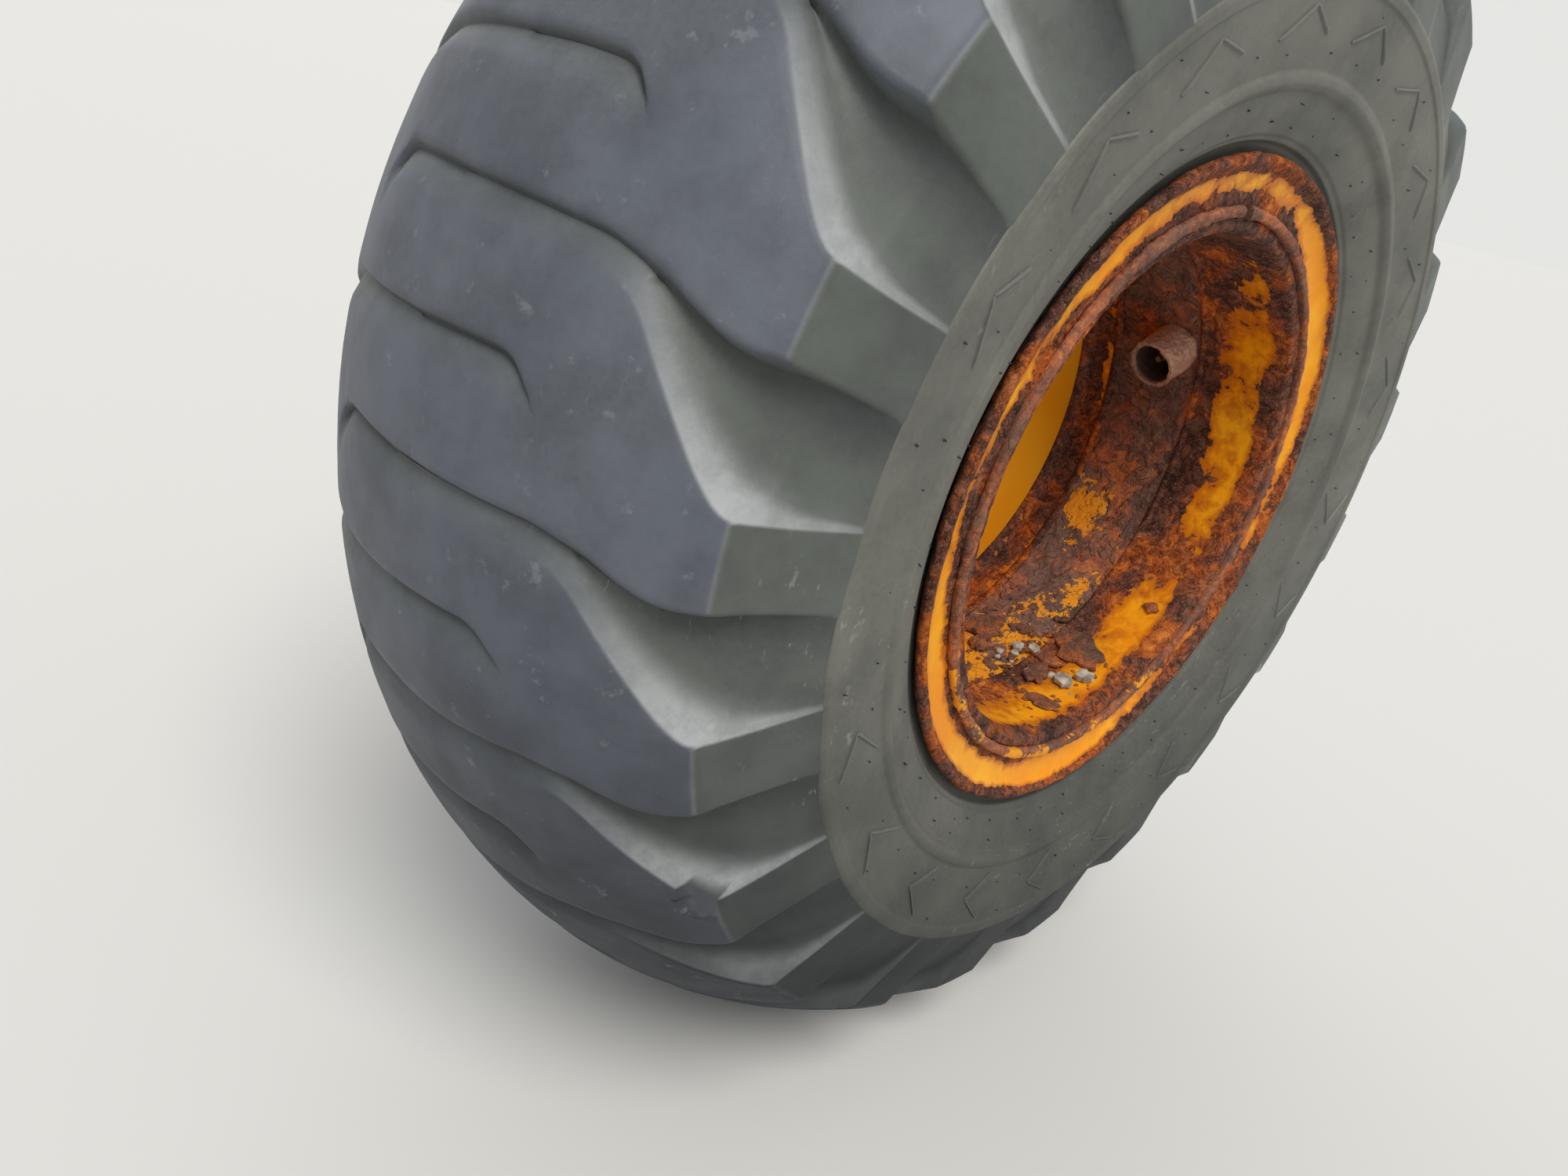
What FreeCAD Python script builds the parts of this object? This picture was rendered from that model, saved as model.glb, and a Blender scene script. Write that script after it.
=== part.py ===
import FreeCAD, Part
import os
import Sketcher
from FreeCAD import Vector

# Wheel of a wheel loader: a wide traction tyre on a five-piece rim with a welded disc.
# Millimetres, +Z up. The wheel turns about the Y axis and its open, dished face looks towards -Y.
# The origin is the centre of the disc's mounting face, which bolts to the hub and looks towards +Y.
# Stations along the axis are measured from the tyre's mid-plane, which lies wheel_offset outboard.

SIZES = [
    # alias, value, meaning
    ("crown_diameter", 1544, "tyre diameter over the worn lugs at the crown"),
    ("shoulder_drop", 108, "how far the lugs' outer edges lie below the crown"),
    ("buttress_share", 0.4225, "height of the lug ends' foot, as a share of the way from ridge to shoulder"),
    ("section_width", 620, "tyre width where the lug ends meet the sidewall"),
    ("shoulder_inset", 32, "how far the lugs' outer edges lie inside the section's side"),
    ("ridge_inset", 13, "how far the sidewall's ridge lies inside the section's side"),
    ("ridge_height", 70, "height of the sidewall's ridge above the side ring's rim"),
    ("bead_clear_height", 28, "how far below a side ring's rim the tyre leaves it"),
    ("bead_step_width", 14, "how far the sidewall stands out beyond the bead at the side ring's rim"),
    ("bead_step_height", 11, "how far above the side ring's rim the sidewall starts"),
    ("casing_wall", 36, "thickness of the tyre's sidewall"),
    ("crown_wall", 74, "thickness of tread and casing at the crown"),
    ("shoulder_wall", 50.4, "thickness of tread and casing at the lugs' outer edges"),
    ("bead_width", 70, "width of the tyre's bead on its seat"),
    ("lug_count", 21, "lugs on each side of the tread"),
    ("facets_per_lug", 2, "flats round the tyre for each lug"),
    ("groove_run", 128, "length along the axis of the wide grooves' floors, out to the lugs' edges"),
    ("groove_start_depth", 20, "depth of the wide grooves' floors below the crown at their inner ends"),
    ("groove_depth", 43, "depth of the wide grooves at the lugs' outer edges"),
    ("groove_reach", 90, "height of the space that each groove cuts above its floor"),
    ("groove_angle", 7.5, "degrees from a narrow groove's line to its wide groove's middle"),
    ("tread_phase", 6.2, "degrees that the tyre is turned so its lugs stand as in the photograph"),
    ("sidewall_bulge", 62.5, "how far the tyre's section stands out beyond each bead"),
    ("seat_diameter", 635, "nominal diameter at the heel of the bead seats"),
    ("seat_angle", 5, "taper of the bead seats in degrees"),
    ("flange_height", 63.5, "height of the side rings above the bead seat"),
    ("flange_reach", 27.5, "how far a side ring's lip stands out from its bead face"),
    ("ring_wall", 14, "thickness of the side rings"),
    ("ring_leg_height", 33, "height of a side ring's upright leg on its bead side"),
    ("ring_face_height", 42, "depth of the side ring's hollow outer face below its rim"),
    ("ring_lip_width", 10, "width of a side ring's rolled lip"),
    ("ring_lip_height", 7, "height of a side ring's rolled lip"),
    ("ring_hollow", 4, "how far the hollow outer face lies behind a straight line"),
    ("barrel_depth", 20.5, "how far the barrel's inside lies below the bead seats' heel"),
    ("barrel_wall", 11, "wall of the barrel's centre band"),
    ("gutter_length", 116, "length of the gutter ring from its lip to its seam"),
    ("back_length", 283.5, "length of the back section from its seam to the stop lip"),
    ("lip_setback", 11, "how far the gutter's lip lies inside the side ring's lip"),
    ("gutter_wall", 15, "wall of the gutter ring under the lock ring"),
    ("gutter_bevel", 6, "bevel inside the gutter's lip"),
    ("gutter_lip_width", 10, "width of the gutter's lip"),
    ("gutter_lip_height", 4, "height of the gutter's lip above its wall"),
    ("lock_ring_width", 21, "width of the lock ring in its groove"),
    ("lock_groove_depth", 6, "depth of the lock ring's groove in the gutter ring"),
    ("lock_upstand_width", 8, "width of the lock ring's upstand"),
    ("lock_upstand_height", 10.5, "height of the lock ring's upstand above the bead seats' heel"),
    ("lock_ring_gap", 16, "gap at the lock ring's split"),
    ("band_width", 96, "nominal width of the bead seats"),
    ("stop_lip_height", 16, "height of the back section's stop lip above its seat"),
    ("stop_lip_width", 14, "width of the back section's stop lip"),
    ("stop_lip_fall", 6, "fall of the stop lip's top towards the machine"),
    ("wheel_offset", 45, "distance of the tyre's mid-plane outboard of the mounting face"),
    ("disc_thickness", 20, "thickness of the wheel disc"),
    ("bore_diameter", 281, "pilot bore of the disc"),
    ("bolt_circle", 335, "pitch circle of the wheel bolts"),
    ("bolt_count", 12, "number of wheel bolt holes"),
    ("bolt_hole", 26, "diameter of a wheel bolt hole"),
    ("disc_weld", 14, "leg of the welds round the disc"),
    ("guard_diameter", 62, "outside diameter of the valve guard pipe"),
    ("guard_wall", 4, "wall of the valve guard pipe"),
    ("guard_length", 57, "length of the valve guard pipe from the barrel inwards"),
    ("guard_setback", 155, "how far the valve guard stands inside the gutter's lip"),
    ("guard_angle", 26, "angle of the valve guard above +X in degrees"),
    ("valve_diameter", 14, "diameter of the valve's stem"),
    ("valve_length", 40, "length of the valve from the barrel inwards"),
    ("seat_clearance", 0.2, "clearance between pieces that slide together"),
]

doc = FreeCAD.newDocument("LoaderWheel")
sheet = doc.addObject("Spreadsheet::Sheet", "Sizes")
for row, (alias, value, meaning) in enumerate(SIZES, start=1):
    sheet.set(f"A{row}", meaning)
    sheet.set(f"B{row}", str(value))
    sheet.setAlias(f"B{row}", alias)
doc.recompute()

# Stations and radii that several pieces share, as expressions on the sheet.
HALF_SECTION = "(Sizes.section_width / 2)"
HALF_RIM = f"({HALF_SECTION} - Sizes.sidewall_bulge)"
SEAT_R = "(Sizes.seat_diameter / 2)"
FLANGE_R = "(Sizes.seat_diameter / 2 + Sizes.flange_height)"
BARREL_R = f"({SEAT_R} - Sizes.barrel_depth)"
BAND_OUT_R = f"({BARREL_R} + Sizes.barrel_wall)"
LIP_PLANE = f"({HALF_RIM} + Sizes.flange_reach)"
GUTTER_LIP = f"({LIP_PLANE} - Sizes.lip_setback)"
GUTTER_SEAM = f"({GUTTER_LIP} - Sizes.gutter_length)"
STOP_FACE = f"({HALF_RIM} + Sizes.ring_wall)"
BACK_SEAM = f"({STOP_FACE} - Sizes.back_length)"
GROOVE_R = f"({BARREL_R} + Sizes.gutter_wall - Sizes.lock_groove_depth)"
LOCK_OUT = f"({GUTTER_LIP} - Sizes.gutter_lip_width)"
LOCK_IN = f"({LOCK_OUT} - Sizes.lock_ring_width)"
GUTTER_TOP = f"({BARREL_R} + Sizes.gutter_wall + Sizes.gutter_lip_height)"
UPSTAND_R = f"({SEAT_R} + Sizes.lock_upstand_height)"
GUARD_STATION = f"(Sizes.guard_setback - {GUTTER_LIP})"
SLIDE = "Sizes.seat_clearance"

# The tyre is a ring of flats, whose corners reach the crown's diameter.
FACET = "(360 deg / (Sizes.lug_count * Sizes.facets_per_lug))"
PITCH = "(360 deg / Sizes.lug_count)"
CROWN_R = f"(Sizes.crown_diameter / 2 * cos({FACET} / 2))"
SHOULDER_R = "(Sizes.crown_diameter / 2 - Sizes.shoulder_drop)"
HALF_TREAD = f"({HALF_SECTION} - Sizes.shoulder_inset)"
RIDGE = f"({HALF_SECTION} - Sizes.ridge_inset)"
RIDGE_R = f"({FLANGE_R} + Sizes.ridge_height)"
BUTTRESS_R = f"({RIDGE_R} + ({SHOULDER_R} - {RIDGE_R}) * Sizes.buttress_share)"
FLOOR_R = f"({SHOULDER_R} - Sizes.groove_depth)"
START_R = "(Sizes.crown_diameter / 2 - Sizes.groove_start_depth)"

# The crown's outline from the shoulder inwards: share of the half tread width, share of the drop.
CROWN_ARCH = [(0.81, 0.63), (0.54, 0.25), (0.2, 0)]

# The wide groove's outline: share of the half tread width, angle from the narrow groove's line.
# It runs down the edge nearer that line and comes back along the far, slanting edge.
GROOVE_EDGE = [(0.575, -0.65), (0.86, 2.3), (1.3, 2.3), (1.3, 12.6), (0.985, 12.6), (0.65, 1.5), (0.575, 0.65)]

# The part of it that runs down the buttress: share of the buttress's height, angle.
BUTTRESS_EDGE = [(0.3, 2.3), (-1.2, 2.3), (-1.2, 12.6), (0.3, 12.6)]


def number(expression):
    """Value of an expression on the sheet, for a sketch's first guess."""
    result = sheet.evalExpression(str(expression))
    return float(getattr(result, "Value", result))


def seat_radius(depth):
    """Expression for the bead seat's radius at a depth inboard of the bead's heel."""
    return f"({SEAT_R} - ({depth}) * tan(Sizes.seat_angle * 1 deg))"


def origin_item(body, role):
    """A plane or axis of the body's own origin, found by its role."""
    return next(item for item in body.Origin.OriginFeatures if item.Role == role)


def new_body(name):
    """A body whose label names its file and whose stations start at the tyre's mid-plane."""
    body = doc.addObject("PartDesign::Body", name)
    body.Label = name
    body.setExpression(".Placement.Base.y", "-Sizes.wheel_offset")
    return body


def new_sketch(body, name, role):
    """An empty sketch on one of the body's own planes."""
    sketch = body.newObject("Sketcher::SketchObject", name)
    sketch.AttachmentSupport = [(origin_item(body, role), "")]
    sketch.MapMode = "FlatFace"
    return sketch


def round_the_wheel(body, name, count, features=None, angle="360 deg"):
    """Repeats features of a body, or else its whole shape, evenly round the wheel's axis."""
    ring = body.newObject("PartDesign::PolarPattern", name)
    if features:
        ring.Originals = features
    else:
        ring.TransformMode = "Whole shape"
    ring.Axis = (origin_item(body, "Y_Axis"), [""])
    ring.Angle = number(angle)
    ring.setExpression("Angle", angle)
    ring.setExpression("Occurrences", count)
    body.Tip = ring
    doc.recompute()
    return ring


def pin_down(sketch, edge, point, coordinates):
    """Ties one end of an edge to two expressions."""
    for kind, expression in zip(("DistanceX", "DistanceY"), coordinates):
        index = sketch.addConstraint(Sketcher.Constraint(kind, edge, point, number(expression)))
        sketch.setExpression(f"Constraints[{index}]", str(expression))


def outline(sketch, corners):
    """Closed outline of straight edges through corners given as pairs of expressions."""
    points = [Vector(number(u), number(v), 0) for u, v in corners]
    count = len(points)
    edges = [sketch.addGeometry(Part.LineSegment(points[step], points[(step + 1) % count]), False)
             for step in range(count)]
    for step, edge in enumerate(edges):
        sketch.addConstraint(Sketcher.Constraint("Coincident", edge, 2, edges[(step + 1) % count], 1))
        pin_down(sketch, edge, 1, corners[step])


def revolved(name, corners, turn=None):
    """A body turned about the wheel's axis from an outline of (station, radius) pairs."""
    body = new_body(name)
    sketch = new_sketch(body, f"{name}_section", "YZ_Plane")
    outline(sketch, corners)
    doc.recompute()
    feature = body.newObject("PartDesign::Revolution", f"{name}_turned")
    feature.Profile = sketch
    feature.ReferenceAxis = (sketch, ["H_Axis"])
    feature.Angle = 360
    if turn:
        feature.setExpression("Angle", turn)
    sketch.Visibility = False
    doc.recompute()
    return body


def mirrored(corners):
    """The same outline on the other side of the mid-plane, walked the other way round."""
    return [(f"-({u})", v) for u, v in reversed(corners)]


def tyre_outline():
    """The tyre's hollow section: beads, sidewalls with their ridges, flat buttresses and a rounded crown."""
    ring_rim = f"({FLANGE_R} - Sizes.bead_clear_height)"
    outside = [
        (HALF_RIM, SEAT_R),
        (HALF_RIM, ring_rim),
        (f"{HALF_RIM} + Sizes.bead_step_width", f"{FLANGE_R} + Sizes.bead_step_height"),
        (RIDGE, RIDGE_R),
        (HALF_SECTION, BUTTRESS_R),
        (HALF_TREAD, SHOULDER_R),
    ]
    outside += [(f"{HALF_TREAD} * {share}", f"{CROWN_R} - ({CROWN_R} - {SHOULDER_R}) * {fall}")
                for share, fall in CROWN_ARCH]
    inside = [
        (f"{HALF_TREAD} / 2", f"{CROWN_R} - Sizes.crown_wall"),
        (f"{HALF_TREAD} - Sizes.casing_wall", f"{SHOULDER_R} - Sizes.shoulder_wall"),
        (f"{RIDGE} - Sizes.casing_wall", RIDGE_R),
        (f"{HALF_RIM} - Sizes.bead_width", seat_radius("Sizes.bead_width")),
    ]
    return outside + mirrored(outside) + mirrored(inside) + inside


def make_flat_sector(body):
    """One flat sector of the tyre: its section padded both ways and trimmed to a wedge."""
    section = new_sketch(body, "tyre_section", "YZ_Plane")
    outline(section, tyre_outline())
    doc.recompute()
    slab = body.newObject("PartDesign::Pad", "tyre_slab")
    slab.Profile = section
    slab.Midplane = True
    slab.setExpression("Length", f"Sizes.crown_diameter * tan({FACET})")
    doc.recompute()
    trim = new_sketch(body, "sector_trim", "XZ_Plane")
    slope = f"tan({FACET} / 2)"
    low, high = "(Sizes.bore_diameter / 2)", "Sizes.crown_diameter"
    for side in (1, -1):
        outline(trim, [(f"{side} * {low} * {slope}", low), (f"{side} * {high} * {slope}", high),
                       (f"{side} * {high}", high), (f"{side} * {high}", low)])
    doc.recompute()
    wedge = body.newObject("PartDesign::Pocket", "tyre_sector")
    wedge.Profile = trim
    wedge.Type = "ThroughAll"
    wedge.Midplane = True
    doc.recompute()


def make_groove(body, name, side, turn):
    """One wide groove between two lugs, cut above two tilted planes.

    side is -1 for the outboard half of the tread and 1 for the inboard half, its mirror image. turn
    is the groove's place round the wheel in pitches. The first plane slopes from the crown to the
    lugs' outer edges and the second one from there down the buttress, where the groove runs out.
    """
    turned = body.newObject("PartDesign::CoordinateSystem", f"{name}_frame")
    turned.AttachmentSupport = [(origin_item(body, "XY_Plane"), "")]
    turned.MapMode = "FlatFace"
    if turn:
        axis = Vector(0, 1 if turn > 0 else -1, 0)
        turned.AttachmentOffset = FreeCAD.Placement(
            Vector(0, 0, 0), FreeCAD.Rotation(axis, number(f"{abs(turn)} * {PITCH}")))
        turned.setExpression(".AttachmentOffset.Rotation.Angle", f"{abs(turn)} * {PITCH}")
    doc.recompute()
    cuts = [
        # name, radius of the floor's end, its distance in from the lugs' edges, outline, where its
        # shares start, length that they are taken of
        ("lug_groove", START_R, "Sizes.groove_run", GROOVE_EDGE, HALF_TREAD, f"-{HALF_TREAD}"),
        ("buttress_groove", BUTTRESS_R, "-Sizes.shoulder_inset", BUTTRESS_EDGE, "0", "Sizes.shoulder_inset"),
    ]
    for label, radius, run, edge, start, length in cuts:
        tilt = f"atan(({radius} - {FLOOR_R}) / ({run}))"
        sketch = body.newObject("Sketcher::SketchObject", f"{name}_{label}_outline")
        sketch.AttachmentSupport = [(turned, "")]
        sketch.MapMode = "ObjectXY"
        lean = number(f"{tilt} * {-side}")
        axis = Vector(1 if lean > 0 else -1, 0, 0)
        sketch.AttachmentOffset = FreeCAD.Placement(
            Vector(0, side * number(HALF_TREAD), number(FLOOR_R)), FreeCAD.Rotation(axis, abs(lean)))
        sketch.setExpression(".AttachmentOffset.Base.y", f"{side} * {HALF_TREAD}")
        sketch.setExpression(".AttachmentOffset.Base.z", FLOOR_R)
        sketch.setExpression(".AttachmentOffset.Rotation.Angle", f"abs({tilt})")
        corners = []
        for share, angle in edge:
            inward = f"({start} + {length} * {share})"
            floor = f"({FLOOR_R} + {inward} * abs(tan({tilt})))"
            across = f"-1 * {floor} * sin({angle} deg - Sizes.groove_angle * 1 deg)"
            corners.append((across, f"{-side} * {inward} / cos({tilt})"))
        outline(sketch, corners)
        doc.recompute()
        cut = body.newObject("PartDesign::Pocket", f"{name}_{label}")
        cut.Profile = sketch
        cut.Reversed = True
        cut.setExpression("Length", "Sizes.groove_reach")
        doc.recompute()


def make_tyre():
    """Hollow tyre of flat sectors with wide grooves that leave lugs on each side of its tread.

    One pitch of it is cut first, with the grooves that cross its edges, and then repeated.
    """
    body = new_body("tyre")
    make_flat_sector(body)
    flats = round_the_wheel(body, "tyre_flats", "Sizes.facets_per_lug", angle=FACET)
    flats.Mode = "Spacing"
    flats.setExpression("Angle", None)
    flats.setExpression("Offset", FACET)
    doc.recompute()
    # name, side of the tread, place round the wheel in pitches
    for name, side, turn in [("outboard_groove", -1, 0), ("outboard_next", -1, 1),
                             ("inboard_groove", 1, 0.5), ("inboard_last", 1, -0.5)]:
        make_groove(body, name, side, turn)
    round_the_wheel(body, "tyre_ring", "Sizes.lug_count")
    body.Placement = FreeCAD.Placement(
        Vector(0, -number("Sizes.wheel_offset"), 0), FreeCAD.Rotation(Vector(0, 1, 0), number("Sizes.tread_phase")))
    body.setExpression(".Placement.Rotation.Angle", "Sizes.tread_phase * 1 deg")
    doc.recompute()
    return body


def make_side_ring(name, side):
    """Flange that holds one bead: an upright leg, a hollow outer face and a rolled lip."""
    seat = f"({SEAT_R} + {SLIDE})"
    face_foot = f"({FLANGE_R} - Sizes.ring_face_height)"
    lip_foot = f"({FLANGE_R} - Sizes.ring_lip_height)"
    corners = [
        (HALF_RIM, seat),
        (HALF_RIM, f"{SEAT_R} + Sizes.ring_leg_height"),
        (f"{LIP_PLANE} - Sizes.ring_lip_width", FLANGE_R),
        (LIP_PLANE, lip_foot),
        (f"({LIP_PLANE} + {STOP_FACE}) / 2 - Sizes.ring_hollow", f"({lip_foot} + {face_foot}) / 2"),
        (STOP_FACE, face_foot),
        (STOP_FACE, seat),
    ]
    return revolved(name, corners if side > 0 else mirrored(corners))


def make_gutter_ring():
    """Outboard section of the base, with the lock ring's groove and a bevelled lip."""
    corners = [
        (f"-{GUTTER_SEAM}", BARREL_R),
        (f"-{GUTTER_LIP} + Sizes.gutter_bevel", BARREL_R),
        (f"-{GUTTER_LIP}", f"{BARREL_R} + Sizes.gutter_bevel"),
        (f"-{GUTTER_LIP}", GUTTER_TOP),
        (f"-{LOCK_OUT}", GUTTER_TOP),
        (f"-{LOCK_OUT}", GROOVE_R),
        (f"-{LOCK_IN}", GROOVE_R),
        (f"-{LOCK_IN}", BAND_OUT_R),
        (f"-{GUTTER_SEAM}", BAND_OUT_R),
    ]
    return revolved("rim_gutter_ring", corners)


def make_centre_band():
    """Plain rolled band between the gutter ring and the back section."""
    corners = [
        (f"-{GUTTER_SEAM}", BARREL_R),
        (f"-{GUTTER_SEAM}", BAND_OUT_R),
        (BACK_SEAM, BAND_OUT_R),
        (BACK_SEAM, BARREL_R),
    ]
    return revolved("rim_centre_band", corners)


def make_back_section():
    """Inboard section of the base, with the fixed bead seat and the side ring's stop lip."""
    toe = f"(({SEAT_R} - {BAND_OUT_R}) / tan(Sizes.seat_angle * 1 deg))"
    stop_out = f"({STOP_FACE} + Sizes.stop_lip_width)"
    stop_top = f"({SEAT_R} + Sizes.stop_lip_height)"
    corners = [
        (BACK_SEAM, BARREL_R),
        (BACK_SEAM, BAND_OUT_R),
        (f"{HALF_RIM} - {toe}", BAND_OUT_R),
        (HALF_RIM, SEAT_R),
        (STOP_FACE, SEAT_R),
        (STOP_FACE, stop_top),
        (stop_out, f"{stop_top} - Sizes.stop_lip_fall"),
        (stop_out, BARREL_R),
    ]
    return revolved("rim_back_section", corners)


def make_bead_seat_band():
    """Loose tapered band that carries the outboard bead and rests against the lock ring."""
    bore = f"({BAND_OUT_R} + {SLIDE})"
    end = f"({LOCK_IN} - {SLIDE})"
    corners = [
        (f"-({HALF_RIM}) + Sizes.band_width", bore),
        (f"-({HALF_RIM}) + Sizes.band_width", seat_radius("Sizes.band_width")),
        (f"-{end}", seat_radius(f"{HALF_RIM} - {end}")),
        (f"-{end}", bore),
    ]
    return revolved("bead_seat_band", corners)


def make_lock_ring():
    """Split ring sprung into its groove, which carries the side ring and rises outboard of it."""
    foot = f"({STOP_FACE} + {SLIDE})"
    corners = [
        (f"-({LOCK_OUT} - {SLIDE})", GROOVE_R),
        (f"-({LOCK_OUT} - {SLIDE})", f"{GUTTER_TOP} + {SLIDE}"),
        (f"-({foot} + Sizes.lock_upstand_width)", f"{GUTTER_TOP} + {SLIDE}"),
        (f"-({foot} + Sizes.lock_upstand_width)", UPSTAND_R),
        (f"-{foot}", UPSTAND_R),
        (f"-{foot}", SEAT_R),
        (f"-({LOCK_IN} + {SLIDE})", SEAT_R),
        (f"-({LOCK_IN} + {SLIDE})", GROOVE_R),
    ]
    split = f"360 deg - Sizes.lock_ring_gap / {GROOVE_R} * 180 deg / pi"
    return revolved("lock_ring", corners, turn=split)


def make_disc():
    """Plate welded into the barrel on both faces, with a pilot bore and a circle of bolt holes."""
    leg = "Sizes.disc_weld"
    back = "Sizes.wheel_offset"
    front = "(Sizes.wheel_offset - Sizes.disc_thickness)"
    body = revolved("wheel_disc", [
        (back, "Sizes.bore_diameter / 2"),
        (back, f"{BARREL_R} - {leg}"),
        (f"{back} + {leg}", BARREL_R),
        (f"{front} - {leg}", BARREL_R),
        (front, f"{BARREL_R} - {leg}"),
        (front, "Sizes.bore_diameter / 2"),
    ])
    hole_sketch = new_sketch(body, "bolt_hole_outline", "XZ_Plane")
    edge = hole_sketch.addGeometry(
        Part.Circle(Vector(0, number("Sizes.bolt_circle") / 2, 0), Vector(0, 0, 1), number("Sizes.bolt_hole") / 2), False)
    hole_sketch.addConstraint(Sketcher.Constraint("PointOnObject", edge, 3, -2))
    for kind, expression in (("DistanceY", "Sizes.bolt_circle / 2"), ("Diameter", "Sizes.bolt_hole")):
        parts = (edge, 3) if kind == "DistanceY" else (edge,)
        index = hole_sketch.addConstraint(Sketcher.Constraint(kind, *parts, number(expression)))
        hole_sketch.setExpression(f"Constraints[{index}]", expression)
    doc.recompute()
    hole = body.newObject("PartDesign::Pocket", "bolt_hole")
    hole.Profile = hole_sketch
    hole.Type = "ThroughAll"
    hole.Midplane = True
    doc.recompute()
    round_the_wheel(body, "bolt_holes", "Sizes.bolt_count", [hole])
    return body


def make_radial_turned(name, diameters_and_heights):
    """A stepped round piece that stands on the barrel's inside and points at the wheel's axis.

    It is padded step by step along +Z from its free end, its foot is trimmed to the barrel and its
    placement turns it about the wheel's axis to the guard's angle.
    """
    body = doc.addObject("PartDesign::Body", name)
    body.Label = name
    for step, (diameter, inner, start) in enumerate(diameters_and_heights):
        sketch = new_sketch(body, f"{name}_ring_{step}", "XY_Plane")
        sketch.setExpression(".AttachmentOffset.Base.z", f"{BARREL_R} - ({start})")
        for size in [size for size in (diameter, inner) if size]:
            edge = sketch.addGeometry(Part.Circle(Vector(0, 0, 0), Vector(0, 0, 1), number(size) / 2), False)
            sketch.addConstraint(Sketcher.Constraint("Coincident", edge, 3, -1, 1))
            index = sketch.addConstraint(Sketcher.Constraint("Diameter", edge, number(size)))
            sketch.setExpression(f"Constraints[{index}]", size)
        doc.recompute()
        pad = body.newObject("PartDesign::Pad", f"{name}_length_{step}")
        pad.Profile = sketch
        pad.setExpression("Length", f"{start} + Sizes.barrel_wall / 2")
        doc.recompute()
    trim = new_sketch(body, f"{name}_trim_outline", "YZ_Plane")
    half = f"{diameters_and_heights[0][0]}"
    outline(trim, [
        (f"-({half})", BARREL_R),
        (half, BARREL_R),
        (half, f"{BARREL_R} + Sizes.barrel_wall * 2"),
        (f"-({half})", f"{BARREL_R} + Sizes.barrel_wall * 2"),
    ])
    doc.recompute()
    foot = body.newObject("PartDesign::Groove", f"{name}_foot")
    foot.Profile = trim
    foot.ReferenceAxis = (trim, ["H_Axis"])
    foot.Angle = 360
    body.Tip = foot
    body.setExpression(".Placement.Base.y", f"{GUARD_STATION} - Sizes.wheel_offset")
    body.Placement = FreeCAD.Placement(Vector(0, number(f"{GUARD_STATION} - Sizes.wheel_offset"), 0),
                                       FreeCAD.Rotation(Vector(0, 1, 0), 90 - number("Sizes.guard_angle")))
    body.setExpression(".Placement.Rotation.Angle", "90 deg - Sizes.guard_angle * 1 deg")
    doc.recompute()
    return body


bodies = [
    make_tyre(),
    make_side_ring("outer_side_ring", -1),
    make_side_ring("inner_side_ring", 1),
    make_gutter_ring(),
    make_centre_band(),
    make_back_section(),
    make_bead_seat_band(),
    make_lock_ring(),
    make_disc(),
    make_radial_turned("valve_guard", [
        ("Sizes.guard_diameter", "Sizes.guard_diameter - 2 * Sizes.guard_wall", "Sizes.guard_length")]),
    make_radial_turned("valve", [("Sizes.valve_diameter", None, "Sizes.valve_length")]),
]

doc.recompute()
for item in doc.Objects:
    if "Invalid" in item.State or "Error" in item.State:
        raise RuntimeError(f"{item.Label} failed: {item.State}")
os.makedirs("parts", exist_ok=True)
for body in bodies:
    shape = body.Shape
    if shape.isNull() or not shape.isValid() or not shape.Solids:
        raise RuntimeError(f"{body.Label} has no valid solid")
    shape.exportStep(f"parts/{body.Label}.step")
    box = shape.BoundBox
    print(f"{body.Label}: {len(shape.Solids)} solid, {shape.Volume / 1e6:.2f} litres,"
          f" x {box.XMin:.1f} {box.XMax:.1f}, y {box.YMin:.1f} {box.YMax:.1f}, z {box.ZMin:.1f} {box.ZMax:.1f}")
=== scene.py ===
"""Looks of a wheel loader's wheel: worn traction tyre on a rusty, orange-painted rim."""

import logging
import math
from dataclasses import dataclass, field
from enum import Enum

import bpy
import numpy as np
from mathutils import Matrix, Vector


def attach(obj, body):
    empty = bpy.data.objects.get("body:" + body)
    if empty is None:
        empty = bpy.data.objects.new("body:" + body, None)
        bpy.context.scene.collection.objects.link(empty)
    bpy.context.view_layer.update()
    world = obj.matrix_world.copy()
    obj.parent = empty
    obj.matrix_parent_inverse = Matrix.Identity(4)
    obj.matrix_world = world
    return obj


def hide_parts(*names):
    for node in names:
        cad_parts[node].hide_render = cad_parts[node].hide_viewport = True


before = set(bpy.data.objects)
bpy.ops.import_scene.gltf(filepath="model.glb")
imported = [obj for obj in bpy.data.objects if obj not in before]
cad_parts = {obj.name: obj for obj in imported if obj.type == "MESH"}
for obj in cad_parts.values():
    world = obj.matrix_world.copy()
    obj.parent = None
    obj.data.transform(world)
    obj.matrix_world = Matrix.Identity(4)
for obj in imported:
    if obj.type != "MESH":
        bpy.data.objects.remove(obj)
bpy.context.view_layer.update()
LOG = logging.getLogger("wheel")
MM = 0.001
MID_PLANE = -45.0
LUGS = 21
SIDES = ((-1, "outboard"), (1, "inboard"))
SOCKETS = {float: "Float", int: "Int", tuple: "Color"}
Tree, Node, Piece, Material = bpy.types.NodeTree, bpy.types.Node, bpy.types.Object, bpy.types.Material


class Slot(Enum):
    """Material slots of the part's record."""

    RUBBER = "tyre_rubber"
    PAINT = "painted_rim"
    RUST = "rusted_steel"
    BRASS = "valve_brass"


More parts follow.
